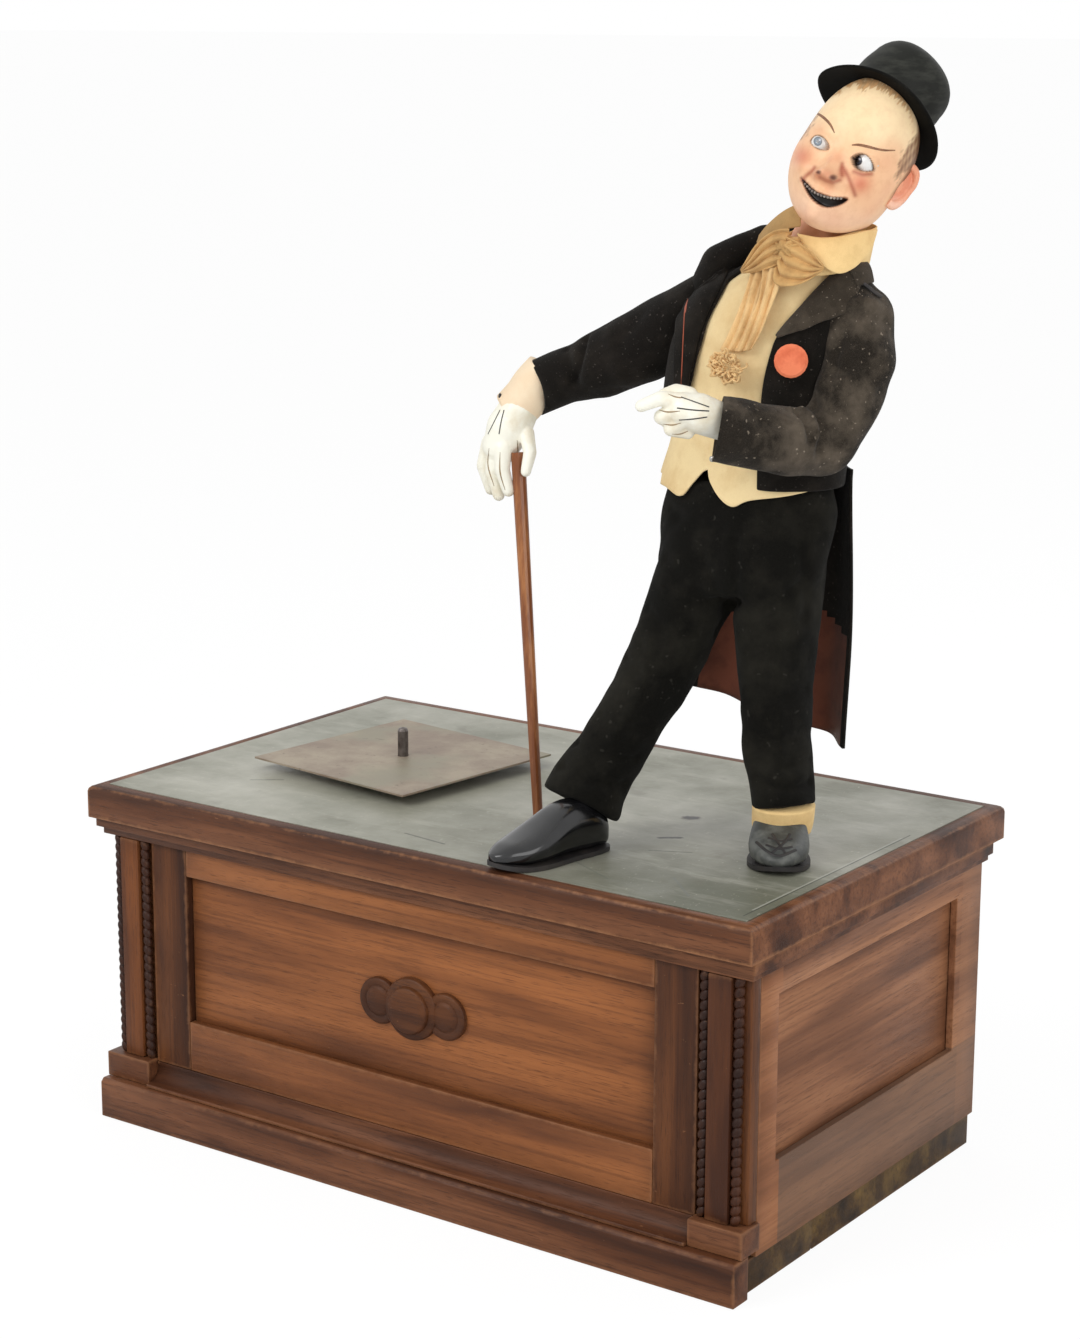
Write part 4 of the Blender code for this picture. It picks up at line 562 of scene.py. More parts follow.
def leatherclothFinish():
    # Painted cloth top: crackled and scuffed. It is grey over most of the top and darker and greener towards the front
    # right corner, as painted reflection: grey where its sheen mirrors the bright room, dark green where it shows
    # little of it.
    made, tree, shader, place = newMaterial("leatherclothTop")
    broad = cloud(tree, place, 9.0, 5.0, 0.62)
    grain = put(tree, "ShaderNodeTexVoronoi", {"Vector": place, "Scale": 900.0}).outputs["Distance"]
    streaks = cloud(tree, along(tree, "MULTIPLY", place, (14, 60, 1)), 1.0, 4.0, 0.7)
    colour = tint(tree, spread(tree, broad, 0.35, 0.68), (0.24, 0.24, 0.188), (0.43, 0.42, 0.345))
    corner = put(tree, "ShaderNodeVectorMath", {0: place, 1: (0.27, -0.19, 0.274)},
                 operation="DISTANCE").outputs["Value"]
    torn = calc(tree, "ADD", corner, times(tree, broad, 0.16))
    # Dark green at the front right corner and a darker ring round it: painted reflection, where the top shows little of
    # the bright room.
    colour = tint(tree, times(tree, spread(tree, torn, 0.24, 0.12), 0.8), colour, (0.06, 0.072, 0.038))
    colour = tint(tree, times(tree, spread(tree, torn, 0.48, 0.24), 0.35), colour, (0.21, 0.205, 0.16))
    # Pale streaks across the top: painted sheen.
    colour = tint(tree, times(tree, spread(tree, streaks, 0.52, 0.75), 0.45), colour, (0.52, 0.51, 0.43))
    scuffs = spread(tree, cloud(tree, along(tree, "MULTIPLY", place, (60, 22, 1)), 6.0, 4.0, 0.75), 0.64, 0.7)
    colour = tint(tree, times(tree, scuffs, 0.5), colour, (0.62, 0.6, 0.5))
    stains = spread(tree, cloud(tree, place, 26.0, 3.0, 0.6), 0.62, 0.75)
    colour = tint(tree, times(tree, stains, 0.45), colour, (0.15, 0.14, 0.1))
    for a, b, wide, tone, share in topMarks:
        colour = tint(tree, times(tree, strokeMask(tree, place, a, b, wide), share), colour, tone)
    feed(tree, shader, {"Base Color": colour, "Roughness": spread(tree, broad, 0.3, 0.7, (0.5, 0.3)),
                        "Specular IOR Level": 0.35})
    height = calc(tree, "ADD", times(tree, grain, 0.05), times(tree, broad, 2.2))
    bumped(tree, shader, height, 0.35, 0.003)
    return made


def plateFinish():
    made, tree, shader, place = newMaterial("rustyPlate")
    broad = cloud(tree, place, 22.0, 5.0, 0.65)
    fine = cloud(tree, place, 160.0, 4.0, 0.7)
    colour = tint(tree, spread(tree, broad, 0.36, 0.64), (0.24, 0.175, 0.125), (0.4, 0.335, 0.255))
    patina = times(tree, spread(tree, cloud(tree, place, 14.0, 3.0), 0.52, 0.64), 0.6)
    colour = tint(tree, patina, colour, (0.28, 0.27, 0.195))
    colour = tint(tree, times(tree, spread(tree, fine, 0.62, 0.72), 0.5), colour, (0.045, 0.03, 0.022))
    feed(tree, shader, {"Base Color": colour, "Metallic": 0.35,
                        "Roughness": spread(tree, broad, 0.3, 0.7, (0.42, 0.62))})
    bumped(tree, shader, fine, 0.2, 0.0004)
    return made


finishes = {
    "coat": clothFinish("charcoalWool", (0.0062, 0.005, 0.0038), (0.04, 0.032, 0.025), 0.4, 0.3, 0.95, 0.05),
    # Its lighter clouds are dust and painted highlight on the black cloth.
    "trousers": clothFinish("blackWool", (0.0026, 0.0024, 0.0016), (0.034, 0.031, 0.023), 0.6, 0.1, 0.95, 0.02, 0.5,
                            16.0),
    "lining": clothFinish("brownLining", (0.16, 0.05, 0.028), (0.05, 0.017, 0.012), 0.85, 0.1, 0.5, 0.1, 0.25),
    "cream": clothFinish("creamFelt", (0.94, 0.74, 0.41), (0.66, 0.42, 0.17), 0.6, 0.05, 0.95, 0.1, 0.35, 26.0),
    "collar": clothFinish("creamLinen", (0.95, 0.68, 0.32), (0.62, 0.37, 0.13), 0.6, 0.12, 0.9, 0.1, 0.35, 36.0),
    "tan": clothFinish("tanCotton", (0.88, 0.6, 0.29), (0.46, 0.25, 0.09), 0.75, 0.08, 0.92, 0.1, 0.4, 40.0),
    "peach": clothFinish("peachFelt", (0.97, 0.8, 0.58), (0.86, 0.58, 0.34), 0.45, 0.0, 0.9, 0.1, 0.3),
    "glove": plainFinish("glovePaint", (0.97, 0.95, 0.83), (0.72, 0.6, 0.38), 30.0, (0.42, 0.6), 0.0, 0.1, 0.12,
                         (1, 1, 1), (0.5, 0.78)),
    "ink": plainFinish("inkPaint", (0.015, 0.013, 0.013), (0.03, 0.025, 0.022), 90.0, (0.5, 0.7)),
    "felt": plainFinish("hatFelt", (0.013, 0.0135, 0.011), (0.05, 0.051, 0.043), 60.0, (0.48, 0.66), 0.0, 0.0, 0.25,
                        (1, 1, 3), (0.42, 0.75), spec=0.16),
    # A darker copy of the hat felt: painted shade on the brim.
    "brim": plainFinish("hatBrimShaded", (0.005, 0.0048, 0.004), (0.01, 0.0095, 0.008), 46.0, (0.6, 0.8), 0.0, 0.0, 0.2,
                        spec=0.06),
    "patent": plainFinish("patentLeather", (0.0045, 0.0045, 0.005), (0.01, 0.01, 0.011), 60.0, (0.12, 0.24), 0.0, 0.25,
                          0.06, (1, 1, 1), (0.45, 0.65), 0.0008),
    "dull": plainFinish("dullLeather", (0.04, 0.043, 0.04), (0.12, 0.124, 0.112), 70.0, (0.42, 0.62), 0.0, 0.0, 0.35),
    "cane": plainFinish("caneWood", (0.225, 0.07, 0.022), (0.42, 0.165, 0.055), 40.0, (0.26, 0.4), 0.0, 0.2, 0.1,
                        (4, 4, 0.35), spec=0.35),
    "disc": plainFinish("salmonDisc", (0.88, 0.24, 0.115), (0.7, 0.145, 0.065), 60.0, (0.5, 0.62), spec=0.2),
    "brass": plainFinish("agedBrass", (0.5, 0.34, 0.13), (0.24, 0.15, 0.06), 60.0, (0.28, 0.5), 1.0),
    "steel": plainFinish("darkSteel", (0.16, 0.14, 0.13), (0.07, 0.055, 0.048), 80.0, (0.3, 0.55), 0.9),
    # A lighter copy of the coat cloth for the left lapel and the coat collar: dust and painted light.
    "lapel": clothFinish("litLapelWool", (0.036, 0.028, 0.02), (0.12, 0.095, 0.07), 0.6, 0.4, 0.95, 0.08),
    # A lighter, dustier copy of the coat cloth for the left sleeve: dust and painted highlight.
    "sleeve": clothFinish("dustyWool", (0.015, 0.0118, 0.0086), (0.185, 0.148, 0.11), 0.8, 0.3, 0.95, 0.06, 0.5, 24.0),
    "loop": clothFinish("tanLoops", (0.68, 0.42, 0.17), (0.34, 0.18, 0.065), 0.7, 0.08, 0.92, 0.1, 0.4, 60.0),
    "wing": clothFinish("shadedLinen", (0.5, 0.31, 0.13), (0.28, 0.16, 0.06), 0.6, 0.1, 0.92, 0.05, 0.4, 60.0),
    # Dark lines between the glove fingers: painted shade.
    "shadeLine": plainFinish("gloveShadePaint", (0.34, 0.24, 0.13), (0.2, 0.13, 0.07), 200.0, (0.6, 0.8)),
    "silver": plainFinish("buttonSilver", (0.62, 0.6, 0.56), (0.3, 0.28, 0.26), 300.0, (0.25, 0.4), 0.8),
    "russet": clothFinish("russetLining", (0.42, 0.1, 0.05), (0.2, 0.05, 0.03), 0.5, 0.1),
    "sole": plainFinish("shoeSole", (0.012, 0.01, 0.01), (0.03, 0.024, 0.02), 60.0, (0.5, 0.7)),
    "band": plainFinish("hatBandEdge", (0.06, 0.062, 0.06), (0.12, 0.12, 0.115), 90.0, (0.5, 0.7)),
    "neck": plainFinish("neckPaint", (0.92, 0.48, 0.28), (0.78, 0.34, 0.18), 60.0, (0.4, 0.5)),
    "ear": paintedMaterial("earPaint", 0.45, 0.05),
    "brow": plainFinish("browPaint", (0.2, 0.085, 0.038), (0.34, 0.16, 0.075), 400.0, (0.5, 0.6)),
    "tooth": plainFinish("toothPaint", (0.2, 0.16, 0.14), (0.42, 0.36, 0.3), 420.0, (0.3, 0.5)),
}
print("materials made")


# Cabinet

cabinet = {
    "front_panel": ("panel", "x", 0.25, 0.13), "front_rail_top": ("rail", "x", 0.5, 0.71),
    "front_rail_bottom": ("rail", "x", 0.5, 0.37), "front_stile_left": ("stile", "z", 0.45, 0.52),
    "front_stile_right": ("stile", "z", 0.45, 0.93), "top_board": ("slab", "x", 0.85, 0.29),
    "cornice": ("slab", "x", 0.55, 0.44), "plinth_board": ("slab", "x", 0.55, 0.61),
    "plinth_moulding": ("slab", "x", 0.5, 0.84), "pilaster_block_left": ("slab", "x", 0.5, 0.17),
    "pilaster_block_right": ("slab", "x", 0.5, 0.19), "side_frame_left": ("side", "y", 0.4, 0.23),
    "side_frame_right": ("side", "y", 0.4, 0.47), "side_panel_left": ("side", "y", 0.1, 0.59),
    "side_panel_right": ("side", "y", 0.1, 0.67), "bottom_board": ("bare", "x", 0.3, 0.77),
    "rear_frame": ("bare", "x", 0.3, 0.81), "rear_door": ("bare", "x", 0.3, 0.91)}


arris = {"width": 0.0007, "segments": 2, "limit": 30, "sharp": 35}  # metres and degrees


def coated(obj, material):
    obj.data.materials.clear()
    obj.data.materials.append(material)
    for face in obj.data.polygons:
        face.material_index = 0


def repaint(node, material):
    coated(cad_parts[node], material)


def eased(made, width):
    ease = made.modifiers.new("ease", "BEVEL")
    ease.width = width
    ease.segments = arris["segments"]
    ease.limit_method = "ANGLE"
    ease.angle_limit = radians(arris["limit"])
    settled(made)
    made.data.shade_smooth()
    sharpened(made, arris["sharp"])
    return made


def softened(node, material):
    # A copy of a CAD board with its arrises eased, in place of the sharp one.
    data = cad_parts[node].data.copy()
    shape = bmesh.new()
    shape.from_mesh(data)
    bmesh.ops.remove_doubles(shape, verts=shape.verts, dist=1e-5)
    bmesh.ops.dissolve_limit(shape, angle_limit=radians(1), verts=shape.verts, edges=shape.edges)
    shape.to_mesh(data)
    shape.free()
    made = bpy.data.objects.new(node + "_eased", data)
    scene.collection.objects.link(made)
    coated(made, material)
    return fitted(eased(made, arris["width"]), "cabinet", node)


def dressCabinet():
    for node, (tones, grain, wear, shift) in cabinet.items():
        low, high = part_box(node)
        material = woodFinish(node + "_wood", tones, low, high, grain, wear, shift=shift)
        if node == "rear_door":
            repaint(node, material)
        else:
            softened(node, material)
    repaint("top_leathercloth", leatherclothFinish())
    repaint("display_plate", plateFinish())
    repaint("turntable_spindle", finishes["steel"])
    for node in ("winding_crank", "camshaft", "governor_fly", "head_lever", "arm_lever", "head_rod", "arm_rod"):
        repaint(node, finishes["steel"])
    for node in ("movement_plate_left", "movement_plate_right", "spindle_bridge", "follower_bracket", "spring_barrel",
                 "rear_door_knob"):
        repaint(node, finishes["brass"])
    low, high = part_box("crank_knob")
    repaint("crank_knob", woodFinish("crank_knob_wood", "slab", low, high, "x", 0.3))


bead = {"pitch": 0.0072, "radius": 0.0036, "low": 0.0526, "high": 0.2327, "outer": 0.2868, "inner": 0.2596,
        "front": -0.1705, "strip": 0.0045, "stripLow": 0.264, "stripHigh": 0.2828, "backLow": 0.2537,
        "backHigh": 0.295, "sunk": 0.0035, "behind": 0.006, "stripArris": 0.0012, "lean": 0.5,
        "woods": (("back", "stile", 0.4, 0.003, 0.3), ("strip", "strip", 0.35, 0.004, 0.5),  # wear, its width and shift
                  ("beads", "rope", 0.15, 0.003, 0.8), ("worn", "rope", 0.3, 0.004, 0.9))}


def beadTree(material):
    # Geometry nodes: twisted beads set one above another along a straight line.
    tree = bpy.data.node_groups.new("ropeBead", "GeometryNodeTree")
    face = tree.interface
    for label, kind in (("Foot", "NodeSocketVector"), ("Head", "NodeSocketVector"), ("Pitch", "NodeSocketFloat"),
                        ("Radius", "NodeSocketFloat"), ("Lean", "NodeSocketFloat")):
        face.new_socket(label, in_out="INPUT", socket_type=kind)
    face.new_socket("Geometry", in_out="OUTPUT", socket_type="NodeSocketGeometry")
    take = tree.nodes.new("NodeGroupInput").outputs
    give = tree.nodes.new("NodeGroupOutput").inputs
    line = put(tree, "GeometryNodeCurvePrimitiveLine", {"Start": take["Foot"], "End": take["Head"]})
    spots = put(tree, "GeometryNodeCurveToPoints", {"Curve": line.outputs[0], "Length": take["Pitch"]}, mode="LENGTH")
    ball = put(tree, "GeometryNodeMeshUVSphere", {"Segments": 14, "Rings": 8, "Radius": 1.0})
    wide = times(tree, take["Pitch"], 0.72)
    size = put(tree, "ShaderNodeCombineXYZ", {0: take["Radius"], 1: take["Radius"], 2: wide}).outputs[0]
    turn = put(tree, "ShaderNodeCombineXYZ", {0: 0.0, 1: take["Lean"], 2: 0.0}).outputs[0]
    many = put(tree, "GeometryNodeInstanceOnPoints", {
        "Points": spots.outputs["Points"], "Instance": ball.outputs["Mesh"], "Rotation": turn, "Scale": size})
    real = put(tree, "GeometryNodeRealizeInstances", {"Geometry": many.outputs[0]})
    soft = put(tree, "GeometryNodeSetShadeSmooth", {"Geometry": real.outputs[0]})
    done = put(tree, "GeometryNodeSetMaterial", {"Geometry": soft.outputs[0], "Material": material})
    tree.links.new(done.outputs[0], give["Geometry"])
    return tree


def ropeBead(name, x, material, lean):
    made = meshFrom(name, [], [], material)
    grow = made.modifiers.new("beads", "NODES")
    grow.node_group = beadTree(material)
    values = {"Foot": (x, bead["front"], bead["low"] + bead["pitch"] / 2),
              "Head": (x, bead["front"], bead["high"] - bead["pitch"] / 2), "Pitch": bead["pitch"],
              "Radius": bead["radius"], "Lean": lean}
    for item in grow.node_group.interface.items_tree:
        if item.in_out == "INPUT":
            grow[item.identifier] = values[item.name]
    settled(made)
    return made


def boxMesh(low, high):
    points = [(x, y, z) for z in (low[2], high[2]) for y in (low[1], high[1]) for x in (low[0], high[0])]
    return points, [(0, 2, 3, 1), (4, 5, 7, 6), (0, 1, 5, 4), (2, 6, 7, 3), (0, 4, 6, 2), (1, 3, 7, 5)]


def board(name, low, high, material, width=arris["width"]):
    return eased(facingOut(meshFrom(name, *boxMesh(low, high), material, smooth=False)), width)


def dressPilasters():
    front = bead["front"]
    for side, label in ((-1, "left"), (1, "right")):
        node = f"pilaster_{label}"
        low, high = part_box(node)
        back, strip, beads, worn = [woodFinish(f"{node}_{name}", tones, low, high, "z", wear, width, shift=shift)
                                    for name, tones, wear, width, shift in bead["woods"]]
        a, b = sorted((side * bead["backLow"], side * bead["backHigh"]))
        c, d = sorted((side * bead["stripLow"], side * bead["stripHigh"]))
        parts = {"pilaster_back": board("back", (a, front + bead["sunk"], low[2]), (b, high[1], high[2]), back),
                 "pilaster_strip": board("strip", (c, front - bead["strip"], low[2]),
                                         (d, front + bead["behind"], high[2]), strip, bead["stripArris"]),
                 "rope_bead_outer": ropeBead("outer", side * bead["outer"], beads, bead["lean"] * side),
                 "rope_bead_inner": ropeBead("inner", side * bead["inner"], worn, bead["lean"] * side)}
        for name, part in parts.items():
            part.name = f"{name}_{label}"
            fitted(part, "cabinet", node)


rosette = {"x": 0.002, "z": 0.148, "face": -0.1638, "radius": 0.024, "wing": 0.018, "offset": 0.031}


def turnedForm(name, profile, centre, axis, sides, material):
    way = Vector(axis).normalized()
    guide = Vector((0, 0, 1)) if abs(way.z) < 0.9 else Vector((0, 1, 0))
    across = guide.cross(way).normalized()
    upward = way.cross(across)
    points = []
    for r, h in profile:
        for s in range(sides):
            t = 2 * pi * s / sides
            points.append(Vector(centre) + way * h + across * (r * cos(t)) + upward * (r * sin(t)))
    made = facingOut(meshFrom(name, points, closedFaces(len(profile), sides), material))
    sharpened(made, 50)
    return made


def dressRosette():
    low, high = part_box("rosette")
    wood = woodFinish("rosette_wood", "stile", low, high, "x", 0.2, shift=0.4)
    s = rosette
    hub = [(s["radius"] * r, h) for r, h in ((1.0, 0), (1.0, 0.0035), (0.985, 0.0046), (0.94, 0.0054), (0.8, 0.0058),
           (0.765, 0.0062), (0.755, 0.008), (0.735, 0.0094), (0.69, 0.0102), (0.5, 0.0105), (0.02, 0.0105))]
    wing = [(s["wing"] * r, h) for r, h in ((1.0, 0), (1.0, 0.0026), (0.97, 0.0036), (0.9, 0.0042), (0.72, 0.0043),
            (0.68, 0.0036), (0.64, 0.0036), (0.58, 0.0048), (0.45, 0.0055), (0.02, 0.0055))]
    parts = [turnedForm("hub", hub, (s["x"], s["face"], s["z"]), (0, -1, 0), 96, wood)]
    for side in (-1, 1):
        parts.append(turnedForm("wing", wing, (s["x"] + side * s["offset"], s["face"], s["z"]), (0, -1, 0), 72, wood))
    made = joined("rosette_turned", parts, wood)
    sharpened(made, 50)
    fitted(made, "cabinet", "rosette")


dressCabinet()
dressPilasters()
dressRosette()
print("cabinet dressed")


# Figure: places shared by its pieces

body = {  # height, middle x and y, half width and half depth of the trunk under the clothes
    "rings": ((0.4523, 0.178, -0.012, 0.0745, 0.042), (0.48, 0.1825, -0.004, 0.069, 0.045),
              (0.512, 0.18, 0.004, 0.0695, 0.045), (0.5363, 0.1805, 0.008, 0.0625, 0.0415),
              (0.58, 0.181, 0.01, 0.064, 0.0445), (0.632, 0.187, 0.012, 0.064, 0.046),
              (0.665, 0.199, 0.014, 0.059, 0.04), (0.688, 0.212, 0.0155, 0.042, 0.031),
              (0.7, 0.222, 0.0165, 0.026, 0.0235)),
    "coat": 0.0085, "form": (0.46, 0.70, 40, 72)}  # the cloth's stand-off; a form's foot, head, rows and sides
bodyTable = throughPoints(body["rings"], 10)


def bodyPoint(turn, z, grow=0.0):
    x, y, wide, deep = (np.interp(z, bodyTable[:, 0], bodyTable[:, k]) for k in (1, 2, 3, 4))
    return Vector((x + (wide + grow) * cos(turn), y + (deep + grow) * sin(turn), z))


def bodyTurn(spot, grow=0.0):
    # The angle round the trunk of a point on it.
    x, y, wide, deep = (np.interp(spot[2], bodyTable[:, 0], bodyTable[:, k]) for k in (1, 2, 3, 4))
    return atan2((spot[1] - y) / (deep + grow), (spot[0] - x) / (wide + grow))


def bodyForm(grow):
    foot, head, rows, sides = body["form"]
    points = [bodyPoint(2 * pi * s / sides, z, grow) for z in np.linspace(foot, head, rows) for s in range(sides)]
    return meshFrom("bodyForm", points, gridFaces(rows, sides))


def softStep(value, low, high):
    t = np.clip((value - low) / (high - low), 0, 1)
    return t * t * (3 - 2 * t)


def pictureSpots(places):
    # Where points of the model fall in the picture.
    seen = (np.asarray(places) - np.array(lens["place"])) @ np.array((lens["right"], lens["up"], lens["back"])).T
    return (lens["middle"][0] - lens["pixels"] * seen[:, 0] / seen[:, 2],
            lens["middle"][1] + lens["pixels"] * seen[:, 1] / seen[:, 2])


def evenly(line, count):
    rows = throughPoints(line, 8)
    run = np.concatenate([[0], np.cumsum(np.linalg.norm(np.diff(rows, axis=0), axis=1))])
    spots = np.linspace(0, run[-1], count)
    return np.stack([np.interp(spots, run, rows[:, k]) for k in range(rows.shape[1])], axis=1)


def patch(name, tree, lineA, lineB, size, lift, thick, material):
    # A leaf of cloth laid on a form between two lines drawn in the picture.
    rows, cols = size
    a, b = evenly(lineA, rows), evenly(lineB, rows)
    points, spots = [], []
    for r in range(rows):
        for c in range(cols):
            v = c / (cols - 1)
            spots.append(seenOn(tree, *(a[r] * (1 - v) + b[r] * v)))
    met = [k for k, (spot, _) in enumerate(spots) if spot is not None]
    for k in range(rows * cols):
        r, c = divmod(k, cols)
        # Where a line of sight misses the form, the nearest one that meets it serves.
        near = k if spots[k][0] is not None else min(met, key=lambda m: (m // cols - r) ** 2 * 4 + (m % cols - c) ** 2)
        spot, normal = spots[near]
        points.append(spot + normal * lift(r / (rows - 1), c / (cols - 1)))
    made = meshFrom(name, points, gridFaces(rows, cols, wrap=False), material)
    return thickened(made, thick)


def thickened(obj, thick, offset=0.0, rim=0, levels=1):
    skin = obj.modifiers.new("skin", "SOLIDIFY")
    skin.thickness = thick
    skin.offset = offset
    skin.use_even_offset = False
    skin.material_offset = rim
    if levels:
        soft = obj.modifiers.new("soft", "SUBSURF")
        soft.levels = soft.render_levels = levels
    settled(obj)
    obj.data.shade_smooth()
    return obj


def capsule(a, b, ra, rb, sides=20):
    # A straight stub with domed ends.
    a, b = Vector(a), Vector(b)
    way = (b - a).normalized()
    rows = [(a - way * ra * sin(t), ra * cos(t)) for t in (1.35, 1.0, 0.6, 0.3)] + [(a, ra), (b, rb)]
    rows += [(b + way * rb * sin(t), rb * cos(t)) for t in (0.3, 0.6, 1.0, 1.35)]
    guide = Vector((0, 0, 1)) if abs(way.z) < 0.9 else Vector((0, 1, 0))
    across = guide.cross(way).normalized()
    upward = way.cross(across)
    points = [p + across * (r * cos(2 * pi * s / sides)) + upward * (r * sin(2 * pi * s / sides))
              for p, r in rows for s in range(sides)]
    return facingOut(meshFrom("capsule", points, closedFaces(len(rows), sides)))


def chain(points, radii):
    return [capsule(a, b, ra, rb) for a, b, ra, rb in zip(points, points[1:], radii, radii[1:])]


# Trousers

trousers = {  # the legs are tubes (x, y, z, half width, half depth), the seat is stacked rings
    "left": ((0.2355, -0.0295, 0.3105, 0.0228, 0.0245), (0.2324, -0.0273, 0.3224, 0.0232, 0.0248),
             (0.2234, -0.0208, 0.3568, 0.0245, 0.0262), (0.2177, -0.0141, 0.3916, 0.0262, 0.0285),
             (0.2127, -0.0079, 0.4267, 0.029, 0.0315), (0.211, -0.0036, 0.455, 0.0312, 0.035),
             (0.211, 0.002, 0.495, 0.0315, 0.037)),
    "right": ((0.102, -0.0945, 0.306, 0.0305, 0.028), (0.1065, -0.085, 0.324, 0.0278, 0.0278),
              (0.1192, -0.0722, 0.3514, 0.0243, 0.028), (0.1335, -0.0545, 0.3874, 0.0252, 0.0295),
              (0.143, -0.0375, 0.4219, 0.0272, 0.0315), (0.1505, -0.023, 0.454, 0.03, 0.035),
              (0.158, -0.002, 0.495, 0.034, 0.0385)),
    "seat": ((0.46, 0.179, -0.01, 0.056, 0.036), (0.476, 0.18, -0.005, 0.0655, 0.043),
             (0.512, 0.18, 0.004, 0.0675, 0.0445), (0.54, 0.1805, 0.008, 0.062, 0.041)),
    "melt": (0.0021, 9), "uneven": ((0.030, 0.0018, 3), (0.013, 0.0008, 5)),  # cell and rounds; size, height and seed
    "folds": (  # picture points, width and height
        (((735, 600), (722, 625), (712, 655)), 0.0045, -0.003), (((735, 540), (735, 570), (736, 602)), 0.004, -0.0024),
        (((700, 560), (715, 590), (730, 606)), 0.005, -0.0022), (((665, 560), (690, 590), (722, 612)), 0.005, -0.002),
        (((757, 618), (775, 605), (800, 585)), 0.005, -0.0026), (((745, 640), (765, 635), (800, 620)), 0.005, -0.0022),
        (((560, 765), (590, 782), (625, 786)), 0.004, -0.0034), (((575, 742), (600, 756), (636, 760)), 0.004, -0.0028),
        (((600, 715), (620, 728), (650, 728)), 0.004, -0.0022), (((755, 778), (785, 790), (812, 782)), 0.004, -0.0034),
        (((752, 758), (780, 768), (812, 760)), 0.004, -0.0026), (((760, 735), (785, 742), (812, 735)), 0.004, -0.002),
        (((650, 640), (640, 690), (612, 740)), 0.004, 0.0018), (((780, 640), (776, 700), (782, 760)), 0.004, 0.0018),
        (((640, 600), (660, 625), (690, 640)), 0.005, -0.0024), (((618, 650), (640, 672), (672, 680)), 0.005, -0.0024),
        (((752, 690), (775, 700), (808, 690)), 0.005, -0.0024), (((665, 500), (680, 520), (720, 530)), 0.005, -0.0018),
        (((745, 520), (775, 530), (810, 522)), 0.005, -0.0018), (((800, 540), (806, 580), (806, 620)), 0.005, -0.0022))}


def stacked(levels, sides=40, steps=6):
    rows = throughPoints(levels, steps)
    points = [(x + wide * cos(2 * pi * s / sides), y + deep * sin(2 * pi * s / sides), z)
              for z, x, y, wide, deep in rows for s in range(sides)]
    return facingOut(meshFrom("stacked", points, closedFaces(len(rows), sides)))


def foldsFrom(obj, folds):
    tree = treeOf(obj)
    lines = []
    for pixels, width, height in folds:
        spots = [seenOn(tree, *p)[0] for p in evenly(pixels, 7)]
        spots = [s for s in spots if s is not None]
        if len(spots) > 1:
            lines.append((spots, width, height))
    return pressFolds(obj, lines)


def makeTrousers():
    parts = [tube(k, trousers[k], upHint=(0, 1, 0)) for k in ("left", "right")] + [stacked(trousers["seat"])]
    made = fused("trousers", parts, *trousers["melt"], finishes["trousers"])
    foldsFrom(made, trousers["folds"])
    for uneven in trousers["uneven"]:
        rumple(made, *uneven)
    fitted(made, "cabinet", "trouser_leg_left", "trouser_leg_right", "trouser_seat")


# Waistcoat

waistcoat = {
    "hem": ((640, 452), (655, 474), (670, 485), (682, 496), (693, 483), (705, 469), (709, 481), (719, 498), (732, 507),
            (747, 501), (782, 497), (810, 491), (835, 482)),
    "back": 0.5400, "top": 0.7000, "flare": 0.0032, "grid": (64, 240), "cloth": 0.0014, "uneven": (0.03, 0.0007, 8),
    "folds": ((((700, 440), (705, 455), (705, 468)), 0.003, -0.001),
              (((690, 410), (700, 395), (712, 388)), 0.005, -0.0008),
              (((735, 478), (745, 470), (755, 458)), 0.005, 0.0012),
              (((742, 495), (750, 482), (757, 468)), 0.004, -0.0008))}


def makeWaistcoat():
    tree = treeOf(form := bodyForm(waistcoat["flare"]))
    spots = [seenOn(tree, *p)[0] for p in evenly(waistcoat["hem"], 60)]
    pairs = sorted((bodyTurn(s, waistcoat["flare"]), s.z) for s in spots if s is not None)
    dropped(form)
    turns, heights = [p[0] for p in pairs], [p[1] for p in pairs]
    rows, sides = waistcoat["grid"]
    points = []
    for r in range(rows):
        for s in range(sides):
            turn = -pi + 2 * pi * s / sides
            low = np.interp(turn, turns, heights, left=waistcoat["back"], right=waistcoat["back"])
            share = r / (rows - 1)
            z = low + (waistcoat["top"] - low) * share ** 1.15
            grow = waistcoat["flare"] * softStep(0.575 - z, 0.0, 0.04) * (1 + 2.6 * max(0.0, -cos(turn + 0.25)))
            points.append(bodyPoint(turn, z, grow))
    made = meshFrom("waistcoat_cloth", points, gridFaces(rows, sides), finishes["cream"])
    foldsFrom(made, waistcoat["folds"])
    rumple(made, *waistcoat["uneven"])
    thickened(made, waistcoat["cloth"], -1.0, levels=0)
    fitted(made, "cabinet", "waistcoat")


# Coat

coat = {
    "rightEdge": ((762, 228), (756, 241), (730, 272), (716, 298), (705, 320), (698, 345), (693, 362), (688, 386),
                  (679, 408), (668, 428), (655, 446)),
    "leftEdge": ((846, 262), (830, 275), (815, 290), (800, 307), (787, 322), (775, 337), (769, 355), (763, 378),
                 (760, 400),
                 (757, 440), (756, 487)),
    "hem": 0.5385, "top": 0.6960, "cutaway": 0.056, "edge": 0.0032, "roll": 0.013, "cloth": 0.0024, "grid": (60, 150),
    "uneven": (0.03, 0.0012, 11), "over": 0.0052,
    "folds": ((((795, 355), (800, 385), (808, 412)), 0.006, -0.0014),
              (((822, 330), (815, 360), (812, 395)), 0.006, 0.0012)),
    "tear": ((688, 299, 0.6), (686, 305, 1.4), (685, 312, 1.3), (684, 320, 0.6), (681, 385, 0.3))}


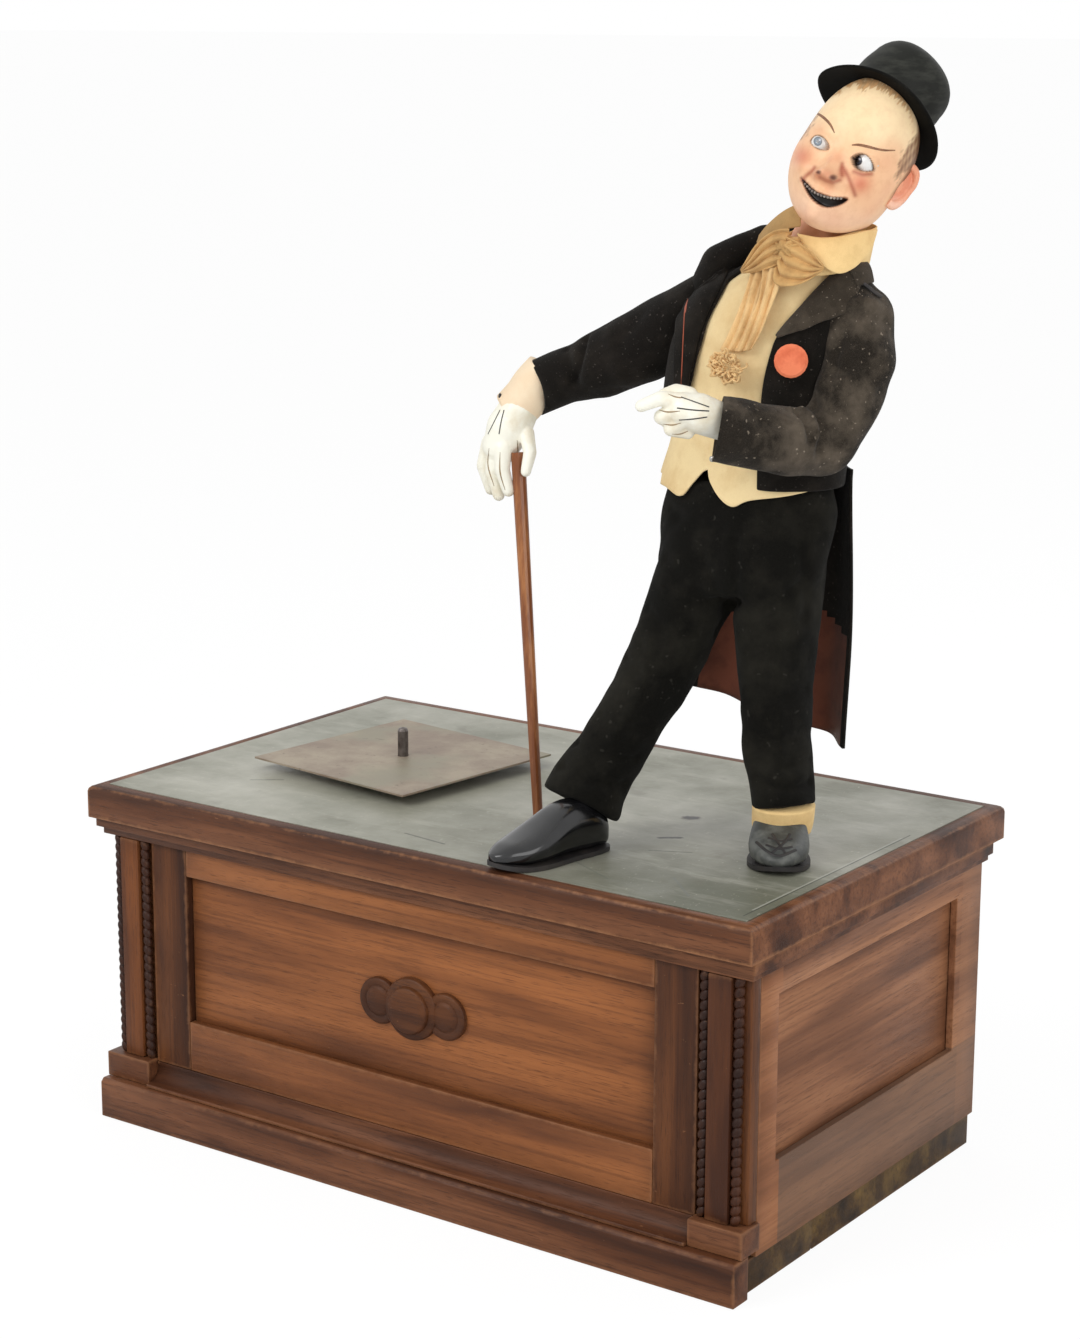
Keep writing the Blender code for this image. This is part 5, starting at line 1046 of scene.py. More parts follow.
def coatEdges():
    # Turn of each front edge at each height, from the lines drawn in the picture.
    tree = treeOf(form := bodyForm(coat["over"]))
    edges = []
    for key in ("leftEdge", "rightEdge"):
        spots = [seenOn(tree, *p)[0] for p in evenly(coat[key], 40)]
        pairs = sorted((s.z, bodyTurn(s, coat["over"])) for s in spots if s is not None)
        edges.append(([p[0] for p in pairs], [p[1] for p in pairs]))
    dropped(form)
    return edges


def makeCoat():
    edges = coatEdges()
    rows, sides = coat["grid"]
    points = []
    for r in range(rows):
        for s in range(sides):
            share = s / (sides - 1)
            low = coat["hem"] + coat["cutaway"] * softStep(share, 0.7, 0.88)
            z = low + (coat["top"] - low) * r / (rows - 1)
            left = np.interp(z, *edges[0])
            right = np.interp(z, *edges[1]) + 2 * pi
            turn = left + (right - left) * (share - 0.06 * sin(2 * pi * share))
            reach = min(abs(turn - left), abs(right - turn)) * 0.055
            grow = coat["edge"] + (body["coat"] - coat["edge"]) * sin(pi / 2 * min(1.0, reach / coat["roll"]))
            points.append(bodyPoint(turn, z, grow))
    made = meshFrom("coat_cloth", points, gridFaces(rows, sides, wrap=False), finishes["coat"])
    rumple(made, *coat["uneven"])
    foldsFrom(made, coat["folds"])
    tree = treeOf(made)
    thickened(made, coat["cloth"], -1.0)
    parts = [made]
    # The left lapel and the coat collar take the lighter lapel cloth as painted light; the right lapel, which lies in
    # shade, keeps the coat's own cloth.
    for side, dip, finish in (("left", 0.0012, "lapel"), ("right", 0.0010, "coat")):
        parts.append(patch(f"lapel_{side}", tree, lapels[side + "Inner"], lapels[side + "Outer"], (40, 12),
                           lambda u, v: 0.001 + 0.003 * sin(pi / 2 * min(1, v * 1.6)) + dip * v * v,
                           lapels["cloth"], finishes[finish]))
    parts.append(patch("coat_collar", tree, lapels["collarInner"], lapels["collarOuter"], (30, 10),
                       lambda u, v: 0.0022 + 0.0036 * sin(pi / 2 * min(1, v * 2)), 0.002, finishes["lapel"]))
    for part in parts:
        fitted(part, "cabinet", "coat_body")
    fitted(inkLine("seam_tear", parts[2], coat["tear"], 0.0018, 0.0004, finishes["russet"]), "cabinet", "coat_body")


lapels = {
    "cloth": 0.0018,
    "loop": ((853, 281), (858, 283), (866, 289), (873, 295), (879, 299)),
    "leftInner": ((846, 266), (830, 276), (815, 291), (800, 308), (787, 323), (777, 336)),
    "leftOuter": ((857, 283), (853, 296), (851, 307), (830, 318), (805, 329), (781, 339)),
    "rightInner": ((760, 231), (752, 245), (730, 272), (716, 298), (705, 322), (697, 348), (691, 385)),
    "rightOuter": ((752, 227), (735, 240), (712, 250), (700, 264), (688, 290), (682, 320), (678, 385)),
    "collarInner": ((842, 262), (852, 262), (862, 262)),
    "collarOuter": ((852, 288), (858, 286), (866, 284))}

tails = {
    "levels": ((0.55, 0.056, 0.047), (0.5345, 0.057, 0.048), (0.48, 0.06, 0.056), (0.42, 0.064, 0.061),
               (0.345, 0.069, 0.064)),
    "split": 0.470, "cloth": 0.0022, "middle": 0.174, "lean": 0.020, "foot": 0.345, "run": 0.19, "columns": 61}


def tailMiddle(z):
    return tails["middle"] + tails["lean"] * (z - tails["foot"]) / tails["run"]


def makeTails():
    rows = throughPoints(tails["levels"], 14)
    columns = tails["columns"]
    for side, label in ((1, "left"), (-1, "right")):
        points = []
        for z, wide, back in rows:
            apart = 0.0045 * max(0.0, min(1.0, (tails["split"] - z) / 0.12))
            for k in range(columns):
                t = side * (k / (columns - 1))
                x = tailMiddle(z) + side * apart + (wide * 1.02 - apart) * t
                flare = 0.0032 * cos(3.0 * pi * t) + 0.0026 * sin(7 * t + 30 * z) * (0.55 - z) / 0.2
                low = (0.01 * (0.55 - abs(t)) if side > 0 else 0.022 * abs(t) + 0.003) * softStep(0.4 - z, 0, 0.05)
                points.append((x, back + 0.003 - 0.02 * t * t + flare, z + low))
        made = meshFrom(f"coat_tail_{label}", points, gridFaces(len(rows), columns, wrap=False), finishes["coat"])
        made.data.materials.append(finishes["lining"])
        if made.data.polygons[0].normal.y < 0:
            made.data.flip_normals()
        thickened(made, tails["cloth"], -1.0, 0, levels=0)
        for face in made.data.polygons:  # the lining shows on the side towards the legs
            x, _, z = face.center
            wide = np.interp(z, [r[0] for r in tails["levels"][::-1]], [r[1] for r in tails["levels"][::-1]])
            share = side * (x - tailMiddle(z)) / (wide * 1.02)
            # Higher up, the left tail's inner side keeps the dark coat cloth in place of its lining: painted shade.
            if face.normal.y < -0.3 and share < 0.93 and (side < 0 or z < 0.455 - 0.035 * share):
                face.material_index = 1
        fitted(made, "cabinet", "coat_tails")


# Sleeves

sleeves = {
    "right": ((0.156, 0.0195, 0.672, 0.02), (0.1457, 0.0185, 0.6642, 0.0215), (0.1334, 0.0165, 0.6593, 0.0242),
              (0.1153, 0.013, 0.6461, 0.0266), (0.0853, 0.006, 0.6273, 0.0272), (0.0548, -0.001, 0.6132, 0.0258),
              (0.0405, -0.005, 0.6074, 0.0222), (0.0277, -0.0085, 0.6031, 0.0208), (0.0005, -0.0165, 0.5906, 0.0206),
              (-0.022, -0.0215, 0.5822, 0.02)),
    "rightCuff": ((0.0035, -0.0155, 0.5925), (-0.50, -0.70, -0.25)),
    "leftCuff": ((0.2110, -0.0890, 0.5890), (-0.824, -0.541, 0.163)),
    "stud": ((709, 460), (712, 459), (716, 457), (722, 456), (730, 452)), "cell": 0.0018,
    "rightUneven": (0.026, 0.0014, 21), "leftUneven": (0.020, 0.0020, 27), "shoulderUneven": (0.020, 0.0012, 23),
    "shoulder": ((0.196, 0.032, 0.713, 0.008), (0.1753, 0.026, 0.7095, 0.0095), (0.1608, 0.02, 0.7013, 0.0112),
                 (0.1467, 0.016, 0.6895, 0.0155), (0.1416, 0.014, 0.6715, 0.018)),
    "leftUpper": ((0.249, 0.0145, 0.67, 0.0235), (0.2585, 0.013, 0.659, 0.0265), (0.2655, 0.006, 0.63, 0.0262),
                  (0.26, -0.004, 0.596, 0.024), (0.2515, -0.015, 0.576, 0.0232)),
    "leftFore": ((0.25, -0.016, 0.5745, 0.0235), (0.2372, -0.05, 0.579, 0.024), (0.202, -0.102, 0.592, 0.0225)),
    "rightFolds": ((((584, 338), (580, 358), (574, 382)), 0.0035, -0.0045),
                   (((566, 350), (569, 365), (574, 384)), 0.004, -0.0026),
                   (((640, 315), (625, 335), (612, 355)), 0.006, -0.0014),
                   (((610, 332), (612, 352), (618, 375)), 0.006, 0.0014),
                   (((700, 290), (685, 315), (672, 345)), 0.005, -0.0022),
                   (((595, 395), (615, 390), (640, 392)), 0.006, -0.0014),
                   (((530, 372), (540, 392), (552, 412)), 0.005, -0.0012)),
    "leftFolds": ((((796, 412), (806, 424), (812, 440)), 0.0035, -0.004),
                  (((813, 405), (822, 425), (822, 452)), 0.004, -0.004),
                  (((801, 410), (812, 418), (818, 436)), 0.0035, 0.003),
                  (((838, 335), (836, 355), (828, 385)), 0.004, -0.0034),
                  (((853, 305), (862, 300), (876, 304)), 0.005, 0.0022),
                  (((850, 318), (866, 312), (888, 322)), 0.005, -0.0016),
                  (((840, 360), (850, 350), (872, 348)), 0.005, 0.002),
                  (((838, 372), (855, 362), (880, 366)), 0.005, -0.0018),
                  (((822, 385), (845, 378), (872, 390)), 0.005, 0.0018),
                  (((843, 335), (848, 362), (836, 390)), 0.005, -0.0016),
                  (((790, 408), (797, 416), (800, 428)), 0.003, 0.0022),
                  (((760, 420), (785, 428), (806, 444)), 0.004, -0.001),
                  (((820, 455), (835, 440), (850, 420)), 0.005, -0.0016),
                  (((745, 410), (740, 435), (745, 458)), 0.005, 0.001))}


def cuffed(obj, end, facing):
    # The sleeve stops in a straight edge with the dark of its inside a little way in.
    way = Vector(facing).normalized()
    shape = bmesh.new()
    shape.from_mesh(obj.data)
    done = bmesh.ops.bisect_plane(shape, geom=shape.verts[:] + shape.edges[:] + shape.faces[:], dist=1e-6,
                                  plane_co=Vector(end), plane_no=way, clear_outer=True)
    rim = [e for e in done["geom_cut"] if isinstance(e, bmesh.types.BMEdge)]
    for depth, narrow in ((0.0, 0.9), (0.005, 1.0)):
        grown = bmesh.ops.extrude_edge_only(shape, edges=rim)["geom"]
        rim = [e for e in grown if isinstance(e, bmesh.types.BMEdge)]
        verts = list({v for e in rim for v in e.verts})
        middle = sum((v.co for v in verts), Vector()) / len(verts)
        for v in verts:
            v.co = middle + (v.co - middle) * narrow - way * depth
    bmesh.ops.contextual_create(shape, geom=rim)
    bmesh.ops.recalc_face_normals(shape, faces=shape.faces)
    shape.to_mesh(obj.data)
    shape.free()
    sharpened(obj, 50)


def chainOf(rows):
    return chain([r[:3] for r in rows], [r[3] for r in rows])


def stud(name, target, spots, size, material, body, node):
    # A small button at the first of the picture points that falls on the piece.
    tree = treeOf(target)
    place = next(p for p in (seenOn(tree, *s)[0] for s in spots) if p is not None)
    made = egg(name, place, ((size[0], 0, 0), (0, 0.0012, 0), (0, 0, size[1])), 20, 12, material)
    fitted(made, body, node)


def makeSleeves():
    right = fused("sleeve_cloth_right", chainOf(sleeves["right"]), sleeves["cell"], 9, finishes["coat"])
    foldsFrom(right, sleeves["rightFolds"])
    rumple(right, *sleeves["rightUneven"])
    cuffed(right, *sleeves["rightCuff"])
    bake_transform(right)
    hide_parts("sleeve_right")
    # The left sleeve takes the lighter, dustier cloth as dust and painted highlight; the right sleeve keeps the coat's
    # own.
    left = chainOf(sleeves["leftUpper"]) + chainOf(sleeves["leftFore"])
    left = fused("sleeve_cloth_left", left, sleeves["cell"], 8, finishes["sleeve"])
    foldsFrom(left, sleeves["leftFolds"])
    rumple(left, *sleeves["leftUneven"])
    cuffed(left, *sleeves["leftCuff"])
    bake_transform(left)
    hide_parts("upper_sleeve_left", "forearm_sleeve_left")
    shoulder = fused("coat_shoulder", chainOf(sleeves["shoulder"]), sleeves["cell"], 8, finishes["coat"])
    rumple(shoulder, *sleeves["shoulderUneven"])
    fitted(shoulder, "cabinet", "coat_body")
    tree, loop = treeOf(left), []
    for px, py in evenly(lapels["loop"], 9):
        spot, normal = seenOn(tree, px, py)
        if spot is not None:
            loop.append((*(spot + normal * 0.0022), 0.0014, 0.0014))
    cord = tube("shoulder_loop", loop, 12, 4, finishes["ink"])
    fitted(cord, "cabinet", "coat_body")
    stud("cuff_button", left, sleeves["stud"], (0.0022, 0.0022), finishes["silver"], "left_forearm",
         "forearm_sleeve_left")


# Gloves and cane

gloves = {
    "melt": (0.0009, 5), "uneven": (0.02, 0.0006, 31),
    "right": {
        "palm": (((-0.0038, -0.0243, 0.5776), (-0.0092, -0.0296, 0.5635), (-0.0135, -0.034, 0.55)),
                 (0.0152, 0.0172, 0.014)),
        "fingers": (((-0.024, -0.033, 0.552), (-0.0285, -0.0349, 0.534), (-0.0234, -0.0331, 0.5165)),
                    ((-0.0158, -0.0382, 0.55), (-0.0168, -0.04, 0.5305), (-0.0122, -0.0385, 0.5138)),
                    ((-0.006, -0.0415, 0.55), (-0.0055, -0.0432, 0.534), (-0.001, -0.0415, 0.5185)),
                    ((0.0065, -0.0289, 0.561), (0.0155, -0.0371, 0.548), (0.0152, -0.0419, 0.5345))),
        "radii": (0.0068, 0.0058, 0.0046)},
    "left": {
        "palm": (((0.211, -0.087, 0.594), (0.2024, -0.101, 0.6004), (0.1965, -0.1096, 0.6035)), (0.013, 0.014, 0.0118)),
        "fingers": (((0.1959, -0.1126, 0.6094), (0.184, -0.1204, 0.611), (0.1734, -0.1276, 0.6058)),
                    ((0.1904, -0.1152, 0.6017), (0.1829, -0.1172, 0.5979), (0.1885, -0.1095, 0.592)),
                    ((0.1949, -0.1119, 0.5955), (0.1885, -0.1132, 0.5897), (0.1964, -0.104, 0.5865)),
                    ((0.1959, -0.1014, 0.6129), (0.1872, -0.1056, 0.6154), (0.1809, -0.1121, 0.6129))),
        "radii": (0.006, 0.0052, 0.0043)},
    "stud": ((500, 396), (503, 396), (506, 396), (510, 397), (515, 398), (522, 400)),
    # Dark lines between the fingers of each glove: painted shade.
    "rightCreases": (((489, 448), (488, 466), (494, 486)), ((500, 452), (500, 472), (505, 490)),
                     ((517, 440), (518, 452), (519, 462))),
    "leftCreases": (((659, 410), (668, 412), (680, 411)), ((663, 424), (672, 425), (681, 423)),
                    ((672, 434), (680, 434), (688, 431)),
                    ((668, 394), (676, 397), (685, 398))),
    "rightLines": (((500, 410), (494, 422), (488, 434)), ((504, 410), (501, 422), (499, 434))),
    "leftLines": (((709, 407), (695, 402), (681, 397)), ((709, 411), (693, 410), (677, 408)),
                  ((707, 417), (693, 419), (679, 420))),
    "gauntlet": ((0.0119, -0.012, 0.606, 0.016), (0.0038, -0.016, 0.5953, 0.0166), (-0.001, -0.0195, 0.5856, 0.0172),
                 (-0.01, -0.023, 0.5758, 0.0168))}


def marked(name, target, line, weights, stroke, finish, body, node):
    # A drawn line that moves with the body; stroke is its width and its height.
    rows = [(*p, w) for p, w in zip(line, weights)]
    fitted(inkLine(name, target, rows, *stroke, finishes[finish]), body, node)


def makeGloves():
    for side, piece, body in (("right", "hand_right", "right_arm"), ("left", "hand_left", "left_forearm")):
        look = gloves[side]
        parts = chain(look["palm"][0], look["palm"][1])
        for finger in look["fingers"]:
            parts += chain(finger, [r * (0.86 if finger is look["fingers"][-1] else 1.0) for r in look["radii"]])
        made = fused(f"glove_{side}", parts, *gloves["melt"], finishes["glove"])
        for k, line in enumerate(gloves[f"{side}Lines"]):
            marked(f"glove_line_{side}_{k}", made, line, (1.0, 1.0, 1.0), (0.0009, 0.0004), "ink", body, piece)
        # Painted shade between the fingers.
        for k, line in enumerate(gloves[f"{side}Creases"]):
            marked(f"glove_shade_{side}_{k}", made, line, (0.3, 1.0, 0.4), (0.0011, 0.0002), "shadeLine", body, piece)
        fitted(made, body, piece)
    cuff = tube("gauntlet", [(x, y, z, r, r) for x, y, z, r in gloves["gauntlet"]], 48, 6, finishes["peach"])
    rumple(cuff, *gloves["uneven"])
    stud("gauntlet_button", cuff, gloves["stud"], (0.0014, 0.0022), finishes["ink"], "right_arm", "hand_right")
    fitted(cuff, "right_arm", "hand_right")
    repaint("cane", finishes["cane"])


# Shoes

sockLevels = ((0.2905, 0.23, -0.0225, 0.0205, 0.0225), (0.2985, 0.2315, -0.0245, 0.0218, 0.0238),
              (0.312, 0.2345, -0.0285, 0.0222, 0.024))
shoes = {
    "ground": 0.2746, "welt": 0.0034,
    "left": ((0.2135, 0.0030), (0.2590, -0.0765), 0.046, "dull"),
    "right": ((0.1165, -0.0865), (0.0895, -0.1850), 0.043, "patent"),
    "stations": ((0.0, 0.3, 0.02), (0.03, 0.52, 0.028), (0.1, 0.68, 0.0345), (0.2, 0.76, 0.039), (0.32, 0.8, 0.0405),
                 (0.44, 0.86, 0.0375), (0.56, 0.94, 0.031), (0.68, 0.97, 0.025), (0.8, 0.86, 0.0205),
                 (0.89, 0.66, 0.017),
                 (0.96, 0.44, 0.012), (1.0, 0.2, 0.0085)),
    "laces": (((768, 838), (780, 841), (792, 839)), ((766, 845), (778, 849), (792, 847)),
              ((772, 834), (778, 843), (785, 853)),
              ((790, 834), (784, 843), (772, 853)), ((756, 842), (768, 852), (780, 856), (796, 850)))}


def shoeForm(name, heel, toe, wide, material):
    heel, toe = (Vector((*p, shoes["ground"])) for p in (heel, toe))
    way = (toe - heel).normalized()
    across = Vector((-way.y, way.x, 0))
    length = (toe - heel).length
    rows = throughPoints(shoes["stations"], 5)
    points, sides = [], 40
    for share, half, top in rows:
        centre = heel + way * (length * share)
        spring = 0.004 * max(0.0, (share - 0.75) / 0.25) ** 2 + 0.003
        for s in range(sides):
            t = 2 * pi * s / sides
            w = wide / 2 * half * 0.97 * copysign(abs(cos(t)) ** 0.75, cos(t))
            lift = sin(t)
            h = (top - 0.003) * (0.5 + 0.5 * copysign(abs(lift) ** (0.62 if lift < 0 else 0.95), lift))
            points.append(centre + across * w + Vector((0, 0, h + spring)))
    upper = facingOut(meshFrom(name + "_upper", points, closedFaces(len(rows), sides), material))
    outline = []
    for side in (1, -1):
        run = rows if side > 0 else rows[::-1]
        for share, half, _ in run:
            spring = 0.004 * max(0.0, (share - 0.75) / 0.25) ** 2
            spot = heel + way * (length * share + 0.0012 * (share - 0.5))
            outline.append((spot + across * (side * (wide / 2 * half + 0.0003)), spring))
    points = [p + Vector((0, 0, s)) for p, s in outline] + [p + Vector((0, 0, s + shoes["welt"])) for p, s in outline]
    count = len(outline)
    faces = [tuple(range(count)), tuple(range(count, 2 * count))]
    faces += [(k, (k + 1) % count, count + (k + 1) % count, count + k) for k in range(count)]
    sole = facingOut(meshFrom(name + "_sole", points, faces, finishes["sole"]))
    sharpened(sole, 40)
    return upper, sole


def makeShoes():
    for side in ("left", "right"):
        heel, toe, wide, kind = shoes[side]
        upper, sole = shoeForm(f"shoe_{side}", heel, toe, wide, finishes[kind])
        for part in (upper, sole):
            fitted(part, "cabinet", f"shoe_{side}")
    for k, line in enumerate(shoes["laces"]):
        marked(f"shoe_lace_{k}", bpy.data.objects["shoe_left_upper"], line, (1.0,) * len(line), (0.0022, 0.0009),
               "sole",
               "cabinet", "shoe_left")
    sock = stacked(sockLevels, 48, 8)
    sock.name = "sock_band"
    sock.data.materials.append(finishes["collar"])
    fitted(sock, "cabinet", "sock_left")


# Shirt collar and cravat

shirt = {"middle": (0.2335, 0.0150), "low": 0.6940, "high": 0.7180, "radius": 0.0300, "open": (-84, -112),
         "grid": (16, 110), "cloth": 0.0013, "far": (0.2260, 0.0300, 0.0485),
         "leafTop": ((797, 233), (820, 237), (845, 235), (866, 230), (877, 229)),
         "leafFoot": ((806, 246), (820, 262), (836, 273), (852, 267), (866, 252)),
         "wingTop": ((803, 201), (784, 211), (768, 225), (756, 241)),
         "wingFoot": ((803, 226), (788, 230), (778, 238), (764, 244))}


def upright(name, rows):
    # A standing round form that leaves of cloth are laid on: x, y, z and radius.
    return tube(name, [(x, y, z, r, r) for x, y, z, r in rows], 72, 4, upHint=(0, 1, 0))


def makeCollar():
    rows, sides = shirt["grid"]
    start, end = (radians(v) for v in (shirt["open"][0], shirt["open"][1] + 360))
    points = []
    for r in range(rows):
        v = r / (rows - 1)
        for s in range(sides):
            u = s / (sides - 1)
            turn = start + (end - start) * u
            near = exp(-((u - 0.04) / 0.1) ** 2) + exp(-((u - 0.96) / 0.1) ** 2)
            radius = shirt["radius"] + 0.002 * v + 0.0014 * sin(5 * turn) * v - 0.003 * near * v
            low = shirt["low"] - 0.0016 * near + 0.0035 * sin(turn)
            high = shirt["high"] - 0.004 * near + 0.0045 * max(0.0, sin(turn)) + 0.0022 * cos(turn)
            points.append((shirt["middle"][0] + radius * cos(turn) + 0.1 * (v - 0.5) * 0.02,
                           shirt["middle"][1] + radius * sin(turn), low + (high - low) * v))
    made = meshFrom("collar_band", points, gridFaces(rows, sides, wrap=False), finishes["collar"])
    thickened(made, shirt["cloth"], 0.0)
    fitted(made, "cabinet", "shirt_collar")
    stand = upright("stand", [(*shirt["middle"], 0.66, 0.0335), (*shirt["middle"], 0.76, 0.035)])
    behind = upright("behind", [(*shirt["far"][:2], z, shirt["far"][2]) for z in (0.66, 0.7, 0.74, 0.78)])
    for key, form in (("leaf", stand), ("wing", behind)):
        tree = treeOf(form)
        leaf = patch(f"collar_{key}", tree, shirt[key + "Top"], shirt[key + "Foot"], (28, 14),
                     lambda u, v: 0.0006 + 0.003 * sin(pi / 2 * v) + 0.0012 * sin(4 * u) * v, 0.0012,
                     finishes["collar" if key == "leaf" else "wing"])
        fitted(leaf, "cabinet", "shirt_collar")
        dropped(form)


cravat = {
    "knot": (0.2265, -0.0270, 0.7085), "front": (0.2215, 0.0190, 0.0480), "over": 0.0022,
    "loopLeft": (((792, 228), (778, 230), (763, 242), (747, 270)), ((784, 262), (774, 267), (762, 271), (748, 273))),
    "loopRight": (((790, 236), (802, 243), (815, 254), (823, 266)), ((779, 268), (780, 284), (800, 284), (822, 270))),
    "tailLong": (((768, 258), (755, 283), (740, 316), (722, 350)), ((786, 262), (770, 292), (757, 322), (741, 352))),
    "tailShort": (((776, 262), (764, 300), (752, 325), (740, 352)), ((796, 268), (779, 300), (767, 325), (753, 350)))}


def makeCravat():
    knot = Vector(cravat["knot"])
    parts = []
    form = egg("cravat_knot", knot, ((0.0105, 0, 0.002), (0, 0.0085, 0), (-0.001, 0, 0.0085)), 56, 36, finishes["loop"])
    places, ways = arrays(form)
    angle = np.arctan2(places[:, 2] - knot.z, places[:, 0] - knot.x)
    putBack(form, places + ways * (0.0011 * np.cos(angle * 9 + 6 * np.sin(angle * 2)))[:, None])
    parts.append(form)
    front = upright("front", [(*cravat["front"][:2], z, cravat["front"][2]) for z in (0.6, 0.66, 0.72, 0.8)])
    trunk = bodyForm(cravat["over"])
    flat, below = treeOf(front), treeOf(trunk)

    def gather(u, v, count, deep):
        return 0.0018 + deep * cos(2 * pi * count * v + 1.2 * sin(5 * u)) * (1 - 0.4 * u)

    for key, form, size, rise, base, count, deep, thick, finish in (
            ("loopLeft", flat, (24, 30), 0, 0.002, 3.5, 0.0020, 0.0011, "loop"),
            ("loopRight", flat, (30, 40), 0, 0.003, 4, 0.0020, 0.0011, "loop"),
            ("tailLong", below, (60, 26), 0.010, 0, 2.5, 0.0019, 0.0010, "tan"),
            ("tailShort", below, (60, 26), 0.012, 0.0020, 2, 0.0019, 0.0010, "tan")):
        parts.append(patch(key, form, *cravat[key], size,
                           lambda u, v: rise * (1 - u) ** 2 + base + gather(u, v, count, deep), thick,
                           finishes[finish]))
    dropped(front)
    dropped(trunk)
    for name, some, finish in (("cravat_knot", parts[:3], "loop"), ("cravat_tails", parts[3:], "tan")):
        made = joined(name, some, finishes[finish])
        fitted(made, "cabinet", "cravat")
    fitted(makeTuft(), "cabinet", "cravat")
    repaint("buttonhole_disc", finishes["disc"])


tuft = {"middle": (0.1900, -0.0455, 0.6250), "reach": (0.0135, 0.0040, 0.0115), "threads": 84, "seed": 4}


def makeTuft():
    # The frayed end: loops of thread bunched in a rough ball.
    rng = np.random.default_rng(tuft["seed"])
    centre = np.array(tuft["middle"])
    parts = []
    for _ in range(tuft["threads"]):
        way = rng.normal(size=3) * (1, 0.45, 1)
        way /= np.linalg.norm(way)
        spot = centre + way * tuft["reach"] * rng.uniform(0.35, 1.0) + (rng.uniform(-0.004, 0.003), 0, 0)
        side = np.cross(way, (0, 1, 0)) + rng.normal(size=3) * 0.5
        line = [(*(spot - way * 0.002 - side * 0.0018), 0.0007, 0.0007), (*(spot + way * 0.0022), 0.0009, 0.0009),
                (*(spot - way * 0.001 + side * 0.002), 0.0007, 0.0007)]
        parts.append(tube("thread", line, 6, 4, None, upHint=(0.3, 0.9, 0.2)))
    return joined("cravat_tuft", parts, finishes["tan"])


# Hat

hat = {"axis": (0.294, 0.749, 0.594), "lift": 0.0331, "shift": (-0.0080, -0.0026, 0.0082), "brim": 0.0515,
       "crown": 0.0325, "height": 0.0485,
       "dip": 0.0127, "front": 0.585, "draw": 0.0045}


def makeHat():
    axis = Vector(hat["axis"]).normalized()
    seat = Vector(headPlace["middle"]) + axis * hat["lift"] + Vector(hat["shift"])
    brim, crown, high = hat["brim"], hat["crown"], hat["height"]
    profile = [(0.004, 0.0006), (brim * 0.55, 0.0004), (brim - 0.003, 0.0), (brim - 0.0008, 0.0003), (brim, 0.0013),
               (brim - 0.0008, 0.0024), (brim - 0.004, 0.0027), (crown + 0.005, 0.0027), (crown + 0.0015, 0.0032),
               (crown + 0.0004, 0.005), (crown, 0.012)]
    profile += [(crown * (1 + 0.03 * sin(pi * k / 8)), 0.012 + (high * 0.62 - 0.012) * k / 8) for k in range(1, 9)]
    profile += [(crown * (1.0 - 0.3 * (1 - cos(pi / 2 * k / 7))), high * (0.62 + 0.33 * sin(pi / 2 * k / 7)))
                for k in range(1, 8)]
    profile += [(crown * 0.5, high * 0.985), (crown * 0.3, high), (0.002, high)]
    made = turnedForm("hat_felt", profile, seat, axis, 96, finishes["felt"])
    # The brim dips over the brow on the figure's right.
    side = -Vector(lens["right"]) + Vector(lens["up"])
    side = (side - axis * side.dot(axis)).normalized()
    front = side.cross(axis).normalized()
    front *= copysign(1.0, front.dot(Vector(lens["back"])))
    for v in made.data.vertices:
        spot = v.co - seat
        flat = spot - axis * spot.dot(axis)
        share = max(0.0, (flat.length - crown) / (brim - crown)) * ((1 + flat.normalized().dot(side)) / 2) ** 3
        near = 1 + hat["front"] * flat.normalized().dot(front)
        v.co -= axis * (hat["dip"] * share * near) + side * (hat["draw"] * share)
    # The brim and faces turned downward take the darker copy of the felt: painted shade.
    made.data.materials.append(finishes["brim"])
    for face in made.data.polygons:
        spot = face.center - seat
        if (spot - axis * spot.dot(axis)).length > crown + 0.002 or face.normal.dot(axis) < -0.5:
            face.material_index = 1
    sharpened(made, 80)
    band = turnedForm("hat_band", [(crown + 0.0009, 0.0046), (crown + 0.0013, 0.005), (crown + 0.0013, 0.006),
                                   (crown + 0.0009, 0.0064),
                                   (crown - 0.001, 0.0055)], seat, axis, 96, finishes["band"])
    for part in (made, band):
        fitted(part, "head_and_hat", "hat")


# Head: modelled by formula, and painted where the picture's lines of sight meet it

headPlace = {"middle": (0.2587, 0.0117, 0.7712), "front": (0.2151, -0.9576, 0.1918), "up": (0.2759, 0.2483, 0.9286),
             "wide": 0.0385, "deep": 0.0410, "tall": 0.0540, "drop": 0.0540, "chin": 0.016, "square": 2.5,
             "jawNear": 0.13, "jawFar": 0.15, "grid": (230, 260), "mouthDeep": 0.0045, "lip": 0.0009}
neckRings = ((0.2232, 0.0142, 0.7035, 0.019, 0.019), (0.231, 0.0135, 0.719, 0.0185, 0.0185),
             (0.244, 0.0138, 0.74, 0.0165, 0.0165))
headForms = (  # left, up, half width, half height, lift, in millimetres
    (0, -36, 19, 16, 9.5), (0, -53, 12, 9, 13), (0, -14, 5.0, 9, 6), (0, -21.5, 6.4, 5.4, 13),
    (7.0, -24.0, 3.2, 3.4, 7.0), (-7.0, -24.0, 3.2, 3.4, 7.0), (22, -22, 10, 8.5, 5.2), (-22, -22, 10, 8.5, 5.2),
    (16, 6, 11, 4, 1.6), (-16, 6, 11, 4, 1.6), (0, -33.5, 11, 2.2, 1.0), (0, -44.5, 10, 2.6, 1.6),
    (13, -28, 2.4, 5.0, -1.5), (-13, -28, 2.4, 5.0, -1.5), (0, -29.5, 2.2, 3.0, -1.0))
